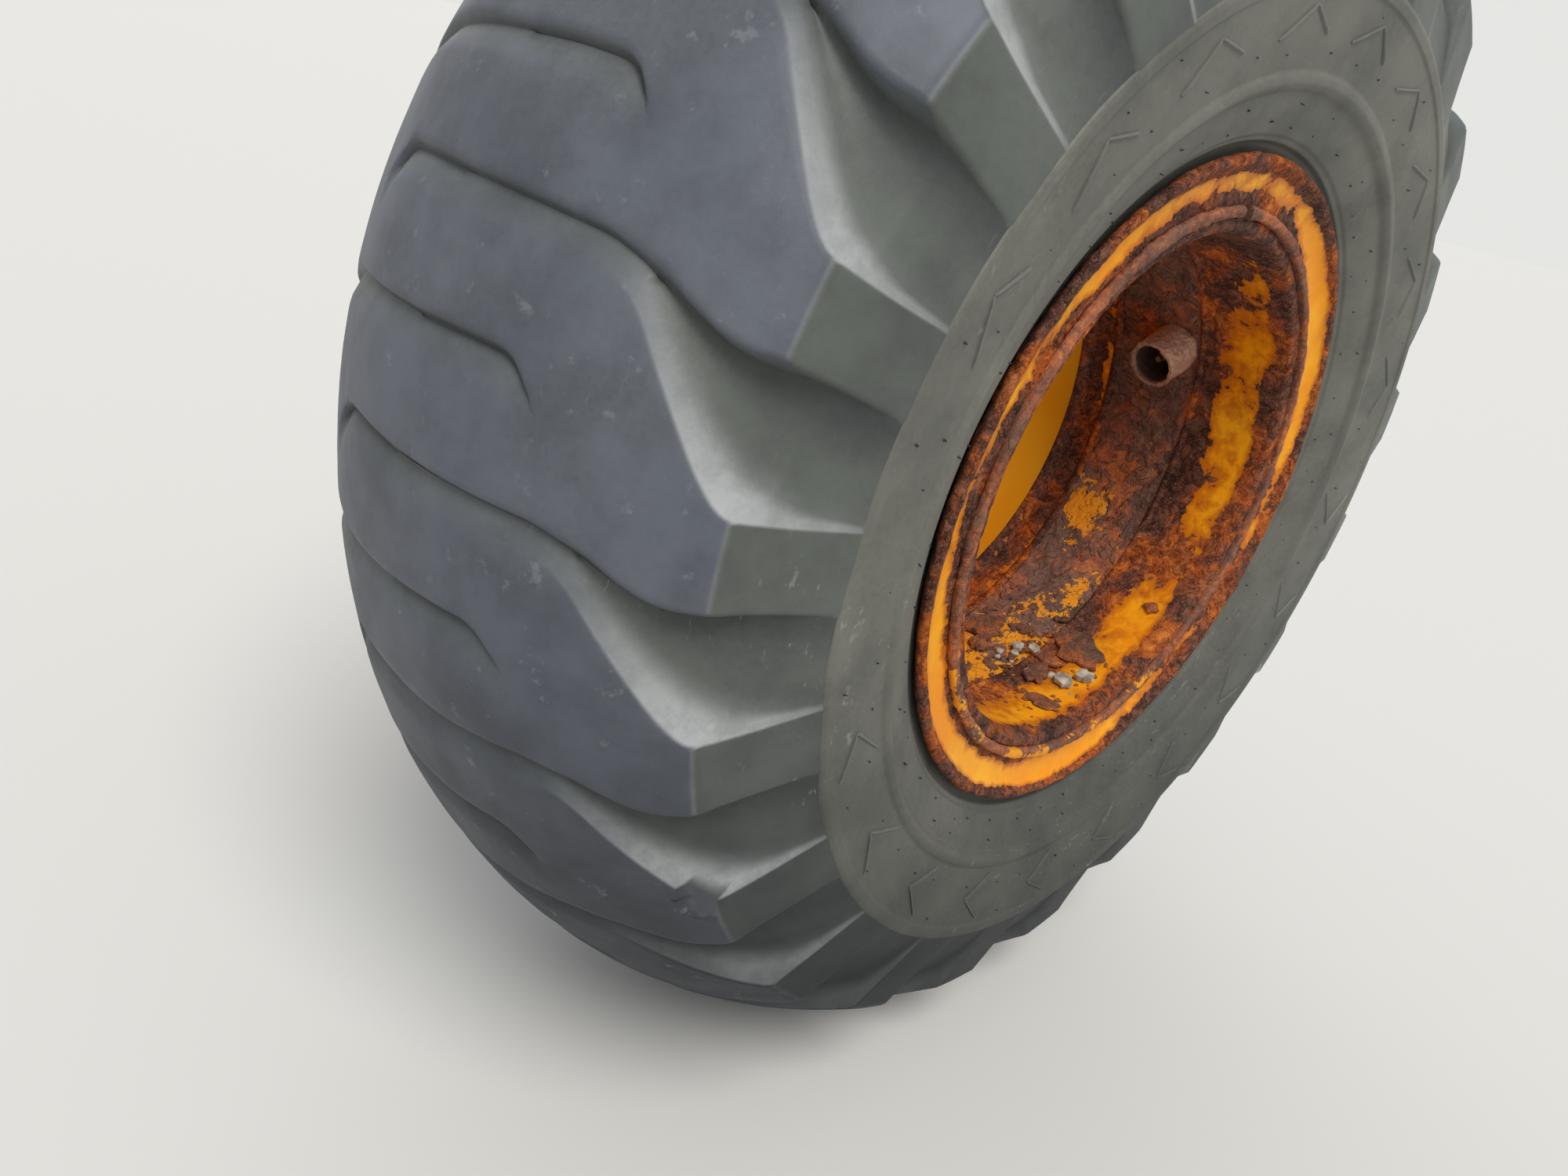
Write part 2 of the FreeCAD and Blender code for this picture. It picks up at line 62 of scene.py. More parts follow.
def linear(code: str) -> tuple[float, float, float, float]:
    """Linear colour with an alpha of 1, from six hexadecimal digits as seen on a screen."""
    parts = [int(code[k : k + 2], 16) / 255 for k in (0, 2, 4)]
    return tuple(p / 12.92 if p <= 0.04045 else ((p + 0.055) / 1.055) ** 2.4 for p in parts) + (1.0,)


class Value:
    """Output of a node that can be added, subtracted and multiplied."""

    def __init__(self, sheet: "Sheet", socket: bpy.types.NodeSocket) -> None:
        """Keeps the output and the sheet that its node is on."""
        self.sheet, self.socket = sheet, socket

    def __add__(self, other: object) -> "Value":
        """Sum."""
        return self.sheet.math("ADD", self, other)

    def __sub__(self, other: object) -> "Value":
        """Difference."""
        return self.sheet.math("SUBTRACT", self, other)

    def __rsub__(self, other: object) -> "Value":
        """Difference from a number."""
        return self.sheet.math("SUBTRACT", other, self)

    def __mul__(self, other: object) -> "Value":
        """Product."""
        return self.sheet.math("MULTIPLY", self, other)


class Sheet:
    """Adds nodes to a tree and wires them. An input gets a Value, a plain value or a screen colour."""

    def __init__(self, tree: Tree) -> None:
        """Keeps the tree."""
        self.tree = tree

    def fill(self, node: Node, inputs: dict) -> None:
        """Wires a node's inputs.

        Args:
            node: any node.
            inputs: what each input gets, by name or number.
        """
        for name, value in inputs.items():
            socket = node.inputs[name]
            if isinstance(value, Value):
                self.tree.links.new(value.socket, socket)
            else:
                socket.default_value = linear(value) if isinstance(value, str) and socket.type == "RGBA" else value

    def node(self, kind: str, inputs: dict | None = None, **settings: object) -> Node:
        """Adds one node.

        Args:
            kind: the node's type name.
            inputs: what each input gets, by name or number.
            settings: the node's own properties.

        Returns:
            The node.
        """
        node = self.tree.nodes.new(kind)
        for name, value in settings.items():
            setattr(node, name, value)
        self.fill(node, inputs or {})
        return node

    def add(self, kind: str, inputs: dict | None = None, get: int | str = 0, **settings: object) -> Value:
        """Adds one node and gives one of its outputs."""
        return Value(self, self.node(kind, inputs, **settings).outputs[get])

    def group(self, tree: Tree, inputs: dict) -> dict[str, Value]:
        """Places a shared shader group and gives its outputs by name."""
        return outputs_of(self, self.node("ShaderNodeGroup", inputs, node_tree=tree))

    def math(self, operation: str, *values: object, clamp: bool = False) -> Value:
        """Result of a math node."""
        return self.add("ShaderNodeMath", dict(enumerate(values)), operation=operation, use_clamp=clamp)

    def vector(self, operation: str, *values: object) -> Value:
        """Result of a vector math node."""
        return self.add("ShaderNodeVectorMath", dict(enumerate(values)), operation=operation)

    def scaled(self, vector: Value, factor: object) -> Value:
        """Vector made longer by a factor."""
        return self.add("ShaderNodeVectorMath", {0: vector, "Scale": factor}, operation="SCALE")

    def part(self, vector: Value, axis: int) -> Value:
        """One coordinate of a vector, x being 0."""
        return self.add("ShaderNodeSeparateXYZ", {"Vector": vector}, axis)

    def attribute(self, name: str) -> Value:
        """Number kept on the mesh, in a shader."""
        return self.add("ShaderNodeAttribute", get="Fac", attribute_name=name)

    def noise(self, place: Value, scale: object, detail: float = 4.0, rough: float = 0.55, seed: object = 0.0) -> Value:
        """Grey noise.

        Args:
            place: vector that it is drawn at.
            scale: features per metre.
            detail: octaves.
            rough: how strong the finer octaves are.
            seed: which of the noises it is.

        Returns:
            The noise from 0 to 1.
        """
        inputs = {"Vector": place, "Scale": scale, "Detail": detail, "Roughness": rough}
        if isinstance(seed, Value):
            return self.add("ShaderNodeTexNoise", {**inputs, "W": seed}, noise_dimensions="4D")
        if seed:
            inputs["Vector"] = self.vector("ADD", place, (seed * 1.7, seed * 0.9, seed * 2.3))
        return self.add("ShaderNodeTexNoise", inputs)

    def bent(self, place: Value, scale: float, detail: float, reach: float) -> Value:
        """Place pushed about by noise, so that what is drawn there looks torn."""
        warp = self.add("ShaderNodeTexNoise", {"Vector": place, "Scale": scale, "Detail": detail}, 1)
        return self.vector("MULTIPLY_ADD", warp, (reach, reach, reach), place)

    def span(self, value: Value, low: object, high: object, start: float = 0.0, end: float = 1.0) -> Value:
        """Value moved smoothly from one range to another.

        Args:
            value: what is moved.
            low: value that gives start.
            high: value that gives end.
            start: result at low.
            end: result at high.

        Returns:
            The result.
        """
        inputs = {"Value": value, "From Min": low, "From Max": high, "To Min": start, "To Max": end}
        return self.add("ShaderNodeMapRange", inputs, interpolation_type="SMOOTHSTEP")

    def layers(self, colour: object, *over: tuple[object, object]) -> Value:
        """Lays colours over one another.

        Args:
            colour: what lies lowest.
            over: share and colour of each layer that follows.

        Returns:
            The colour on top.
        """
        for share, tone in over:
            colour = self.add("ShaderNodeMix", {0: share, 6: colour, 7: tone}, 2, data_type="RGBA")
        return colour

    def ramp(self, value: Value, stops: dict[float, str]) -> Value:
        """Colour ramp.

        Args:
            value: place on the ramp.
            stops: screen colour at each place.

        Returns:
            The colour.
        """
        node = self.node("ShaderNodeValToRGB", {"Fac": value})
        elements = node.color_ramp.elements
        while len(elements) < len(stops):
            elements.new(0.5)
        for element, (place, code) in zip(elements, stops.items()):
            element.position, element.color = place, linear(code)
        return Value(self, node.outputs[0])

    def bump(self, height: Value, strength: float, depth: float) -> Value:
        """Normal bent by a height, of which 1 stands for a depth in metres."""
        return self.add("ShaderNodeBump", {"Height": height, "Strength": strength, "Distance": depth})


def outputs_of(sheet: Sheet, node: Node) -> dict[str, Value]:
    """Outputs of a node by name."""
    return {socket.name: Value(sheet, socket) for socket in node.outputs}


def new_group(name: str, kind: str, inputs: dict, outputs: dict) -> tuple[Tree, Sheet, dict[str, Value], Node]:
    """Empty node group with named sockets.

    Args:
        name: the group's name.
        kind: Shader or Geometry.
        inputs: default of each input, or its type where it has none.
        outputs: type of each output.

    Returns:
        The group, its sheet, its inputs by name and its output node.
    """
    tree = bpy.data.node_groups.new(name, f"{kind}NodeTree")
    for way, sockets in (("INPUT", inputs), ("OUTPUT", outputs)):
        for label, value in sockets.items():
            sort = SOCKETS.get(type(value), value)
            made = tree.interface.new_socket(name=label, in_out=way, socket_type=f"NodeSocket{sort}")
            if not isinstance(value, str):
                made.default_value = value
    sheet = Sheet(tree)
    return tree, sheet, outputs_of(sheet, sheet.node("NodeGroupInput")), sheet.node("NodeGroupOutput")


class Effects:
    """Shader node groups that several finishes share, each built once."""

    def __init__(self) -> None:
        """Builds the groups."""
        self.rust, self.flaking, self.dust, self.grain = self._rust(), self._flaking(), self._dust(), self._grain()

    def _rust(self) -> Tree:
        """Scaled rust.

        Returns:
            The group.
        """
        tree, s, given, out = new_group(
            "rust_scale", "Shader", {"Place": "Vector", "Scale": 1.0, "Crust": 0.5, "Warmth": 0.5},
            {"Colour": "Color", "Height": "Float", "Roughness": "Float"})
        place = s.scaled(given["Place"], given["Scale"])
        bent = s.bent(place, 26.0, 2.0, 0.04)
        broad, fine = s.noise(bent, 13.0, 5.0, 0.62), s.noise(bent, 105.0, 4.0, 0.72, 2.0)
        grit, flakes = s.noise(place, 520.0, 2.0, 0.7, 3.0), s.noise(bent, 44.0, 3.0, 0.55, 5.0)
        tone = fine * 0.5 + broad * 0.55
        warm = s.ramp(tone, {0.36: "2a110a", 0.46: "5c2610", 0.53: "8a3f16", 0.6: "b05a22", 0.7: "cf8136"})
        dull = s.ramp(tone, {0.36: "22130f", 0.46: "4a2a22", 0.54: "6e4438", 0.62: "8e5f4c", 0.72: "b48a70"})
        cool = 0.56 - given["Warmth"] * 0.24
        on_flake = s.span(flakes, 0.52, 0.56) * given["Crust"]
        colour = s.layers(
            dull, (s.span(broad, cool, cool + 0.14), warm),
            (on_flake * 0.7, s.ramp(fine, {0.35: "3a2a22", 0.65: "7a5c48"})),
            (s.span(flakes, 0.49, 0.52) * s.span(flakes, 0.56, 0.53) * 0.6, "170b07"),
            (s.span(grit, 0.5, 0.72, 0.0, 0.65), "1c0d08"), (s.span(grit, 0.42, 0.28, 0.0, 0.45), "cf9258"))
        height = fine * 0.45 + grit * 0.2 + on_flake * 0.4
        s.fill(out, {"Colour": colour, "Height": height, "Roughness": fine * 0.3 + 0.62})
        return tree

    def _flaking(self) -> Tree:
        """Where the paint has gone: a ragged mask, steered by an amount, and the stain round it.

        Returns:
            The group.
        """
        tree, s, given, out = new_group("paint_loss", "Shader", {"Place": "Vector", "Amount": 0.3, "Scale": 1.0},
                                        {"Mask": "Float", "Stain": "Float"})
        place = s.scaled(given["Place"], given["Scale"])
        bent = s.bent(place, 30.0, 4.0, 0.025)
        wear = s.noise(bent, 55.0, 4.0, 0.65, 5.0) * 0.35 + s.noise(bent, 7.5, 5.0, 0.62, 3.0) * 0.75
        wear = (s.noise(place, 2.6, 2.0, 0.5, 11.0) - 0.5) * 0.5 + wear
        level = 0.86 - given["Amount"] * 0.62
        s.fill(out, {"Mask": s.span(wear, level, level + 0.025), "Stain": s.span(wear, level - 0.13, level)})
        return tree

    def _dust(self) -> Tree:
        """Pale dust that settles on what faces up.

        Returns:
            The group.
        """
        tree, s, given, out = new_group(
            "settled_dust", "Shader",
            {"Place": "Vector", "Colour": linear("808080"), "Dust": linear("8d8878"), "Amount": 0.3, "Scale": 1.0},
            {"Colour": "Color", "Mask": "Float"})
        place = s.scaled(given["Place"], given["Scale"])
        up = s.part(s.add("ShaderNodeNewGeometry", get="Normal"), 2)
        cloud, speck = s.noise(place, 5.0, 4.0, 0.6, 9.0), s.noise(place, 160.0, 2.0, 0.6, 2.0)
        mask = s.span(up, -0.8, 1.0, 0.35, 1.0) * s.span(cloud, 0.3, 0.7, 0.35, 1.0)
        mask = s.math("MULTIPLY", mask * s.span(speck, 0.25, 0.65, 0.6, 1.15), given["Amount"], clamp=True)
        s.fill(out, {"Colour": s.layers(given["Colour"], (mask, given["Dust"])), "Mask": mask})
        return tree

    def _grain(self) -> Tree:
        """Fine grain of worn rubber or old paint, with faint scuffs.

        Returns:
            The group.
        """
        tree, s, given, out = new_group("surface_grain", "Shader", {"Place": "Vector", "Scale": 1.0},
                                        {"Height": "Float", "Tone": "Float", "Scuff": "Float"})
        place = s.scaled(given["Place"], given["Scale"])
        fine, lumps = s.noise(place, 330.0, 3.0, 0.65, 1.0), s.noise(place, 46.0, 2.0, 0.5, 6.0)
        streak = s.noise(s.vector("MULTIPLY", place, (5.0, 38.0, 5.0)), 9.0, 3.0, 0.75, 7.0)
        s.fill(out, {"Height": lumps * 0.9 + fine * 0.4, "Tone": s.noise(place, 11.0, 4.0, 0.6, 4.0),
                     "Scuff": s.span(streak, 0.62, 0.72)})
        return tree


def new_material(name: str) -> tuple[Material, Sheet, Node, Value]:
    """Material with a Principled shader.

    Args:
        name: the material's name.

    Returns:
        The material, its sheet, its shader and its object coordinates.
    """
    made = bpy.data.materials.new(name)
    made.use_nodes = True
    made.node_tree.nodes.clear()
    sheet = Sheet(made.node_tree)
    shader = sheet.node("ShaderNodeBsdfPrincipled")
    sheet.node("ShaderNodeOutputMaterial", {"Surface": Value(sheet, shader.outputs[0])})
    return made, sheet, shader, sheet.add("ShaderNodeTexCoord", get="Object")


@dataclass(frozen=True)
class RubberFinish:
    """Worn rubber: bluish lug tops, grey-green dusty hollows, painted shade in the grooves and towards the bottom, and
    a painted sheen on the grooves' lower walls.
    """

    name: str
    top: str
    low: str
    pale: str
    dust: float
    # how far the lowest rubber is darkened towards the shade colour: painted shade
    painted_bottom_shade: float = 0.86
    shade: str = "1e2227"

    def material(self, effects: Effects) -> Material:
        """Builds the material.

        Args:
            effects: shared groups.

        Returns:
            The material.
        """
        made, s, shader, place = new_material(self.name)
        hollow, edge, height = s.attribute("hollow"), s.attribute("edge"), s.part(place, 2)
        grain = s.group(effects.grain, {"Place": place})
        # negative edge values darken the grooves' upper walls and floors towards the shade colour: painted shade
        colour = s.layers(self.top, (hollow, self.low), (s.span(grain["Tone"], 0.34, 0.68) * 0.4, self.shade),
                          (s.span(edge, 0.0, -1.0, 0.0, 0.6), self.shade))
        dusted = s.group(effects.dust, {"Place": place, "Colour": colour, "Dust": self.pale, "Amount": self.dust})
        patchy = s.span(s.noise(place, 26.0, 4.0, 0.72, 6.0), 0.36, 0.62, 0.72, 1.0)
        # positive edge values: real edge wear, and on the grooves' lower walls a painted sheen, both fading towards the
        # bottom
        wear_and_painted_light = s.span(edge, 0.05, 1.0) * (patchy * s.span(height, -0.6, -0.2, 0.12, 1.0))
        marks = s.span(s.noise(place, 34.0, 5.0, 0.75, 8.0), 0.6, 0.7) * s.span(hollow, 0.4, 0.0)
        scuffed = grain["Scuff"] * s.span(dusted["Mask"], 0.03, 0.25)
        scraped = s.span(s.noise(place, 5.5, 2.0, 0.5, 15.0), 0.56, 0.66) * grain["Scuff"] * hollow
        # the lower the rubber, the more the shade colour lies over it: painted shade
        colour = s.layers(
            dusted["Colour"], (s.span(height, 0.04, -0.56, 0.0, self.painted_bottom_shade), self.shade), (wear_and_painted_light * 0.9, "abaeae"),
            (marks * 0.3, "8f939a"), (scuffed * 0.22, "9a9c94"), (scraped * 0.45, "8d908b"))
        s.fill(shader, {
            "Base Color": colour, "Roughness": grain["Tone"] * 0.2 + 0.44 - wear_and_painted_light * 0.12,
            "Specular IOR Level": s.span(height, -0.6, 0.0, 0.12, 0.38),
            "Normal": s.bump(grain["Height"], 0.45, 0.0012)})
        return made


@dataclass(frozen=True)
class PaintFinish:
    """Orange-yellow paint over rust, lost where the piece's rust attribute and the noise say so."""

    name: str
    paint: str = "f09200"
    faded: str = "fbb012"
    amount: float = 0.0
    crust: float = 0.5

    def material(self, effects: Effects) -> Material:
        """Builds the material.

        Args:
            effects: shared groups.

        Returns:
            The material.
        """
        made, s, shader, place = new_material(self.name)
        amount = s.attribute("rust") + self.amount
        loss = s.group(effects.flaking, {"Place": place, "Amount": amount})
        rust = s.group(effects.rust, {"Place": place, "Crust": self.crust})
        grain = s.group(effects.grain, {"Place": place, "Scale": 1.4})
        gone = loss["Mask"]
        runs = s.noise(s.vector("MULTIPLY", place, (26.0, 26.0, 3.0)), 1.0, 4.0, 0.6, 14.0)
        paint = s.layers(
            self.paint, (s.span(s.noise(place, 9.0, 5.0, 0.6, 12.0), 0.35, 0.7), self.faded),
            (s.span(runs, 0.5, 0.72, 0.0, 0.55) * s.span(amount, 0.0, 0.6), "a9520f"), (loss["Stain"] * 0.75, "b4560c"))
        dusted = s.group(effects.dust, {"Place": place, "Colour": paint, "Dust": "b08a4a", "Amount": 0.12})
        rough = {0: gone, 2: grain["Tone"] * 0.25 + 0.3, 3: rust["Roughness"]}
        film = (1.0 - gone) * 0.45 + rust["Height"] * gone
        s.fill(shader, {
            "Base Color": s.layers(dusted["Colour"], (gone, rust["Colour"])), "Specular IOR Level": 0.2,
            "Roughness": s.add("ShaderNodeMix", rough, data_type="FLOAT"),
            "Normal": s.bump(grain["Height"] * 0.06 + film, 0.75, 0.0018)})
        return made


@dataclass(frozen=True)
class ScaleFinish:
    """Bare scaled rust with a few traces of paint."""

    name: str
    crust: float = 0.9
    paint_left: float = 0.0
    pale: str = "9a7358"
    dust: float = 0.35
    relief: float = 0.003
    warmth: float = 0.5

    def material(self, effects: Effects) -> Material:
        """Builds the material.

        Args:
            effects: shared groups.

        Returns:
            The material.
        """
        made, s, shader, place = new_material(self.name)
        rust = s.group(effects.rust, {"Place": place, "Crust": self.crust, "Warmth": self.warmth})
        amount = s.span(s.part(place, 2), 0.08, -0.2, 1.0, 1.0 - self.paint_left)
        loss = s.group(effects.flaking, {"Place": place, "Amount": amount, "Scale": 2.3})
        bare = s.attribute("rust")
        dusted = s.group(effects.dust, {"Place": place, "Colour": rust["Colour"], "Dust": self.pale,
                                        "Amount": bare * self.dust})
        # where the rust attribute is low, as inside the valve guard's pipe, the colour is darkened towards near-black:
        # painted shade in the hollow
        colour = s.layers(dusted["Colour"], (s.span(bare, 0.7, 0.15, 0.0, 0.8), "140b08"))
        s.fill(shader, {"Base Color": s.layers("e8960f", (loss["Mask"], colour)), "Roughness": rust["Roughness"],
                        "Normal": s.bump(rust["Height"], 0.9, self.relief)})
        return made


@dataclass(frozen=True)
class PlainFinish:
    """Stone or dull metal: two tones of noise with a grain."""

    name: str
    dark: str
    light: str
    metal: float = 0.0
    rough: float = 0.7

    def material(self, effects: Effects) -> Material:
        """Builds the material.

        Args:
            effects: shared groups.

        Returns:
            The material.
        """
        made, s, shader, place = new_material(self.name)
        grain = s.group(effects.grain, {"Place": place})
        tone = s.span(s.noise(place, 70.0, 5.0, 0.6), 0.35, 0.65)
        s.fill(shader, {
            "Base Color": s.layers(self.dark, (tone, self.light)), "Metallic": self.metal,
            "Roughness": grain["Tone"] * 0.2 + (self.rough - 0.1), "Normal": s.bump(grain["Height"], 0.5, 0.0006)})
        return made


class Shapers:
    """Geometry node trees for what repeats round the wheel, is roughened or is scattered."""

    def __init__(self) -> None:
        """Builds the trees."""
        self.ring, self.rough, self.scatter = self._ring(), self._rough(), self._scatter()

    @staticmethod
    def _pushed(s: Sheet, geometry: Value, push: Value) -> Value:
        """Geometry moved along its normals."""
        offset = s.scaled(s.add("GeometryNodeInputNormal"), push)
        return s.add("GeometryNodeSetPosition", {"Geometry": geometry, "Offset": offset})

    @staticmethod
    def _finish(s: Sheet, given: dict[str, Value], out: Node, geometry: Value) -> None:
        """Ends a tree with realized instances and its material."""
        real = s.add("GeometryNodeRealizeInstances", {"Geometry": geometry})
        s.fill(out, {"Geometry": s.add("GeometryNodeSetMaterial", {"Geometry": real, "Material": given["Material"]})})

    def _ring(self) -> Tree:
        """Repeats a module evenly round the wheel's axis, joins the seams and lays wear over it.

        Returns:
            The tree.
        """
        tree, s, given, out = new_group(
            "repeat_round_the_wheel", "Geometry",
            {"Geometry": "Geometry", "Count": LUGS, "Step": 0.3, "Join": 0.00005, "Wear": 0.0, "Wear Scale": 9.0,
             "Seed": 1.0, "Material": "Material"}, {"Geometry": "Geometry"})
        line = s.add("GeometryNodeMeshLine", {"Count": given["Count"], "Offset": (0.0, 0.0, 0.0)})
        turn = s.add("ShaderNodeCombineXYZ", {"Y": s.add("GeometryNodeInputIndex") * given["Step"]})
        placed = {"Points": line, "Instance": given["Geometry"], "Rotation": turn}
        real = s.add("GeometryNodeRealizeInstances", {"Geometry": s.add("GeometryNodeInstanceOnPoints", placed)})
        joined = s.add("GeometryNodeMergeByDistance", {"Geometry": real, "Distance": given["Join"]})
        wave = s.noise(s.add("GeometryNodeInputPosition"), given["Wear Scale"], 4.0, 0.55, given["Seed"])
        self._finish(s, given, out, self._pushed(s, joined, (wave - 0.55) * given["Wear"]))
        return tree

    def _rough(self) -> Tree:
        """Pits and flaking plates where the rust attribute is high, and the ripples of a weld.

        Returns:
            The tree.
        """
        tree, s, given, out = new_group(
            "rusted_surface", "Geometry",
            {"Geometry": "Geometry", "Pits": 0.001, "Plates": 0.001, "Scale": 1.0, "Ripples": 0.0,
             "Ripple Count": 200.0, "Seed": 1.0, "Material": "Material"}, {"Geometry": "Geometry"})
        place, seed = s.add("GeometryNodeInputPosition"), given["Seed"]
        sized = s.scaled(place, given["Scale"])
        pits = s.noise(sized, 62.0, 4.0, 0.72, seed) - 0.5
        plates = s.span(s.noise(sized, 24.0, 3.0, 0.5, seed), 0.5, 0.53)
        plates = plates * s.span(s.noise(sized, 14.0, 4.0, 0.6, seed), 0.42, 0.5)
        rust = s.add("GeometryNodeInputNamedAttribute", {"Name": "rust"}, data_type="FLOAT")
        push = (pits * given["Pits"] + plates * given["Plates"]) * s.span(rust, 0.05, 0.7)
        angle = s.math("ARCTAN2", s.part(place, 2), s.part(place, 0))
        beads = s.math("ABSOLUTE", s.math("SINE", angle * given["Ripple Count"]))
        self._finish(s, given, out, self._pushed(s, given["Geometry"], push + beads * given["Ripples"]))
        return tree

    def _scatter(self) -> Tree:
        """Scatters copies of a small shape over a surface, turned and sized at random.

        Returns:
            The tree.
        """
        tree, s, given, out = new_group(
            "scattered_bits", "Geometry",
            {"Geometry": "Geometry", "Bit": "Object", "Density": 1000.0, "Smallest": 0.5, "Largest": 1.5, "Seed": 1,
             "Material": "Material"}, {"Geometry": "Geometry"})
        seed = given["Seed"]
        points = outputs_of(s, s.node("GeometryNodeDistributePointsOnFaces",
                                      {"Mesh": given["Geometry"], "Density": given["Density"], "Seed": seed}))
        bit = s.add("GeometryNodeObjectInfo", {"Object": given["Bit"]}, "Geometry")
        size = s.add("FunctionNodeRandomValue", {2: given["Smallest"], 3: given["Largest"], "Seed": seed}, 1,
                     data_type="FLOAT")
        spin = s.add("FunctionNodeRandomValue", {0: (-0.3, -0.3, 0.0), 1: (0.3, 0.3, 6.283), "Seed": seed},
                     data_type="FLOAT_VECTOR")
        turned = s.add("FunctionNodeRotateRotation", {0: points["Rotation"], 1: spin}, rotation_space="LOCAL")
        self._finish(s, given, out, s.add("GeometryNodeInstanceOnPoints", {
            "Points": points["Points"], "Instance": bit, "Rotation": turned, "Scale": size}))
        return tree


def shape(piece: Piece, tree: Tree, values: dict) -> Piece:
    """Runs a geometry tree on a piece and keeps the result as its plain mesh.

    Args:
        piece: object that is shaped.
        tree: geometry tree.
        values: inputs by name.

    Returns:
        The same object with its new mesh.
    """
    modifier = piece.modifiers.new(tree.name, "NODES")
    modifier.node_group = tree
    names = {item.name: item.identifier for item in tree.interface.items_tree if getattr(item, "in_out", "") == "INPUT"}
    for name, value in values.items():
        modifier[names[name]] = value
    bpy.context.view_layer.update()
    graph = bpy.context.evaluated_depsgraph_get()
    mesh = bpy.data.meshes.new_from_object(piece.evaluated_get(graph), preserve_all_data_layers=True, depsgraph=graph)
    piece.modifiers.remove(modifier)
    piece.data = mesh
    mesh.name = piece.name
    return piece


def shown(name: str, data: object) -> bpy.types.Object:
    """Object with the given data, linked to the scene."""
    made = bpy.data.objects.new(name, data)
    bpy.context.scene.collection.objects.link(made)
    return made


def coat(piece: Piece, finish: Material) -> None:
    """Gives a piece its only material."""
    piece.data.materials.clear()
    piece.data.materials.append(finish)


def new_piece(name: str, points: object, faces: list, attributes: dict[str, object], sharp: float = 40.0) -> Piece:
    """Mesh object from points in millimetres.

    Args:
        name: the object's name.
        points: one row for each vertex.
        faces: vertex numbers of each face.
        attributes: a number for each vertex, or one for all, by name.
        sharp: angle in degrees over which an edge stays sharp.

    Returns:
        The object.
    """
    mesh = bpy.data.meshes.new(name)
    mesh.from_pydata((np.asarray(points) * MM).tolist(), [], faces)
    mesh.validate()
    for label, values in attributes.items():
        set_numbers(mesh, label, np.broadcast_to(values, len(mesh.vertices)))
    mesh.polygons.foreach_set("use_smooth", [True] * len(mesh.polygons))
    mesh.set_sharp_from_angle(angle=math.radians(sharp))
    return shown(name, mesh)


def set_numbers(mesh: bpy.types.Mesh, label: str, values: np.ndarray) -> None:
    """Keeps a number for each vertex on a mesh."""
    mesh.attributes.new(label, "FLOAT", "POINT").data.foreach_set("value", values.astype(np.float32))


def vertices(piece: Piece) -> np.ndarray:
    """Points of a piece in millimetres."""
    return np.array([v.co for v in piece.data.vertices], float) / MM


def on_wheel(angle: float) -> tuple[np.ndarray, np.ndarray]:
    """Directions away from the axis and round it, at an angle in radians."""
    return np.array([math.cos(angle), 0.0, math.sin(angle)]), np.array([-math.sin(angle), 0.0, math.cos(angle)])


def grid_faces(rows: int, columns: int, wrap_rows: bool, wrap_columns: bool) -> list:
    """Quads of a grid of vertices stored row by row.

    Args:
        rows: number of rows.
        columns: number of columns.
        wrap_rows: whether the last row joins the first.
        wrap_columns: whether the last column joins the first.

    Returns:
        Vertex numbers of each quad.
    """
    i, j = np.meshgrid(np.arange(rows - (not wrap_rows)), np.arange(columns - (not wrap_columns)), indexing="ij")
    i, j = i.ravel(), j.ravel()
    down, right = (i + 1) % rows, (j + 1) % columns
    return np.stack([i * columns + j, down * columns + j, down * columns + right, i * columns + right], 1).tolist()


def tube_faces(rows: int, columns: int) -> list:
    """Faces of a tube whose rings are the rows, with both its ends closed."""
    last = (rows - 1) * columns
    return grid_faces(rows, columns, False, True) + [list(range(columns)), list(range(last, last + columns))[::-1]]


def on_circle(radius: object, y: object, angle: object) -> np.ndarray:
    """Points about the wheel's axis, one row each, from radii, places along it and angles in radians."""
    return np.stack(np.broadcast_arrays(radius * np.cos(angle), y, radius * np.sin(angle)), -1).reshape(-1, 3)


def mirrored(loop: tuple, side: int) -> list[tuple]:
    """Section of the inboard side moved to a side, -1 being outboard."""
    return [(side * station, *rest) for station, *rest in loop]


def section(corners: tuple, longest: float, steps: int = 4) -> np.ndarray:
    """Rounds a closed section and adds points so that no step is longer than asked.

    Args:
        corners: station, radius and rust of each corner, and its rounding in millimetres where it has one.
        longest: longest step in millimetres.
        steps: steps on each rounded corner.

    Returns:
        Stations, radii and rust of the points, as three rows.
    """
    points, soft = [np.array(row[:3], float) for row in corners], []
    for k, (corner, row) in enumerate(zip(points, corners)):
        if len(row) < 4 or row[3] <= 0:
            soft.append(corner)
            continue
        ends = []
        for other in (points[k - 1], points[(k + 1) % len(points)]):
            length = max(np.hypot(*(other - corner)[:2]), 1e-6)
            ends.append(corner + (other - corner) * min(row[3] / length, 0.48))
        for t in np.linspace(0, 1, steps + 1):
            soft.append((1 - t) ** 2 * ends[0] + 2 * t * (1 - t) * corner + t * t * ends[1])
    rows = []
    for first, last in zip(soft, soft[1:] + soft[:1]):
        count = max(1, int(math.ceil(np.hypot(*(last - first)[:2]) / longest)))
        rows += [first + (last - first) * t / count for t in range(count)]
    return np.array(rows).T


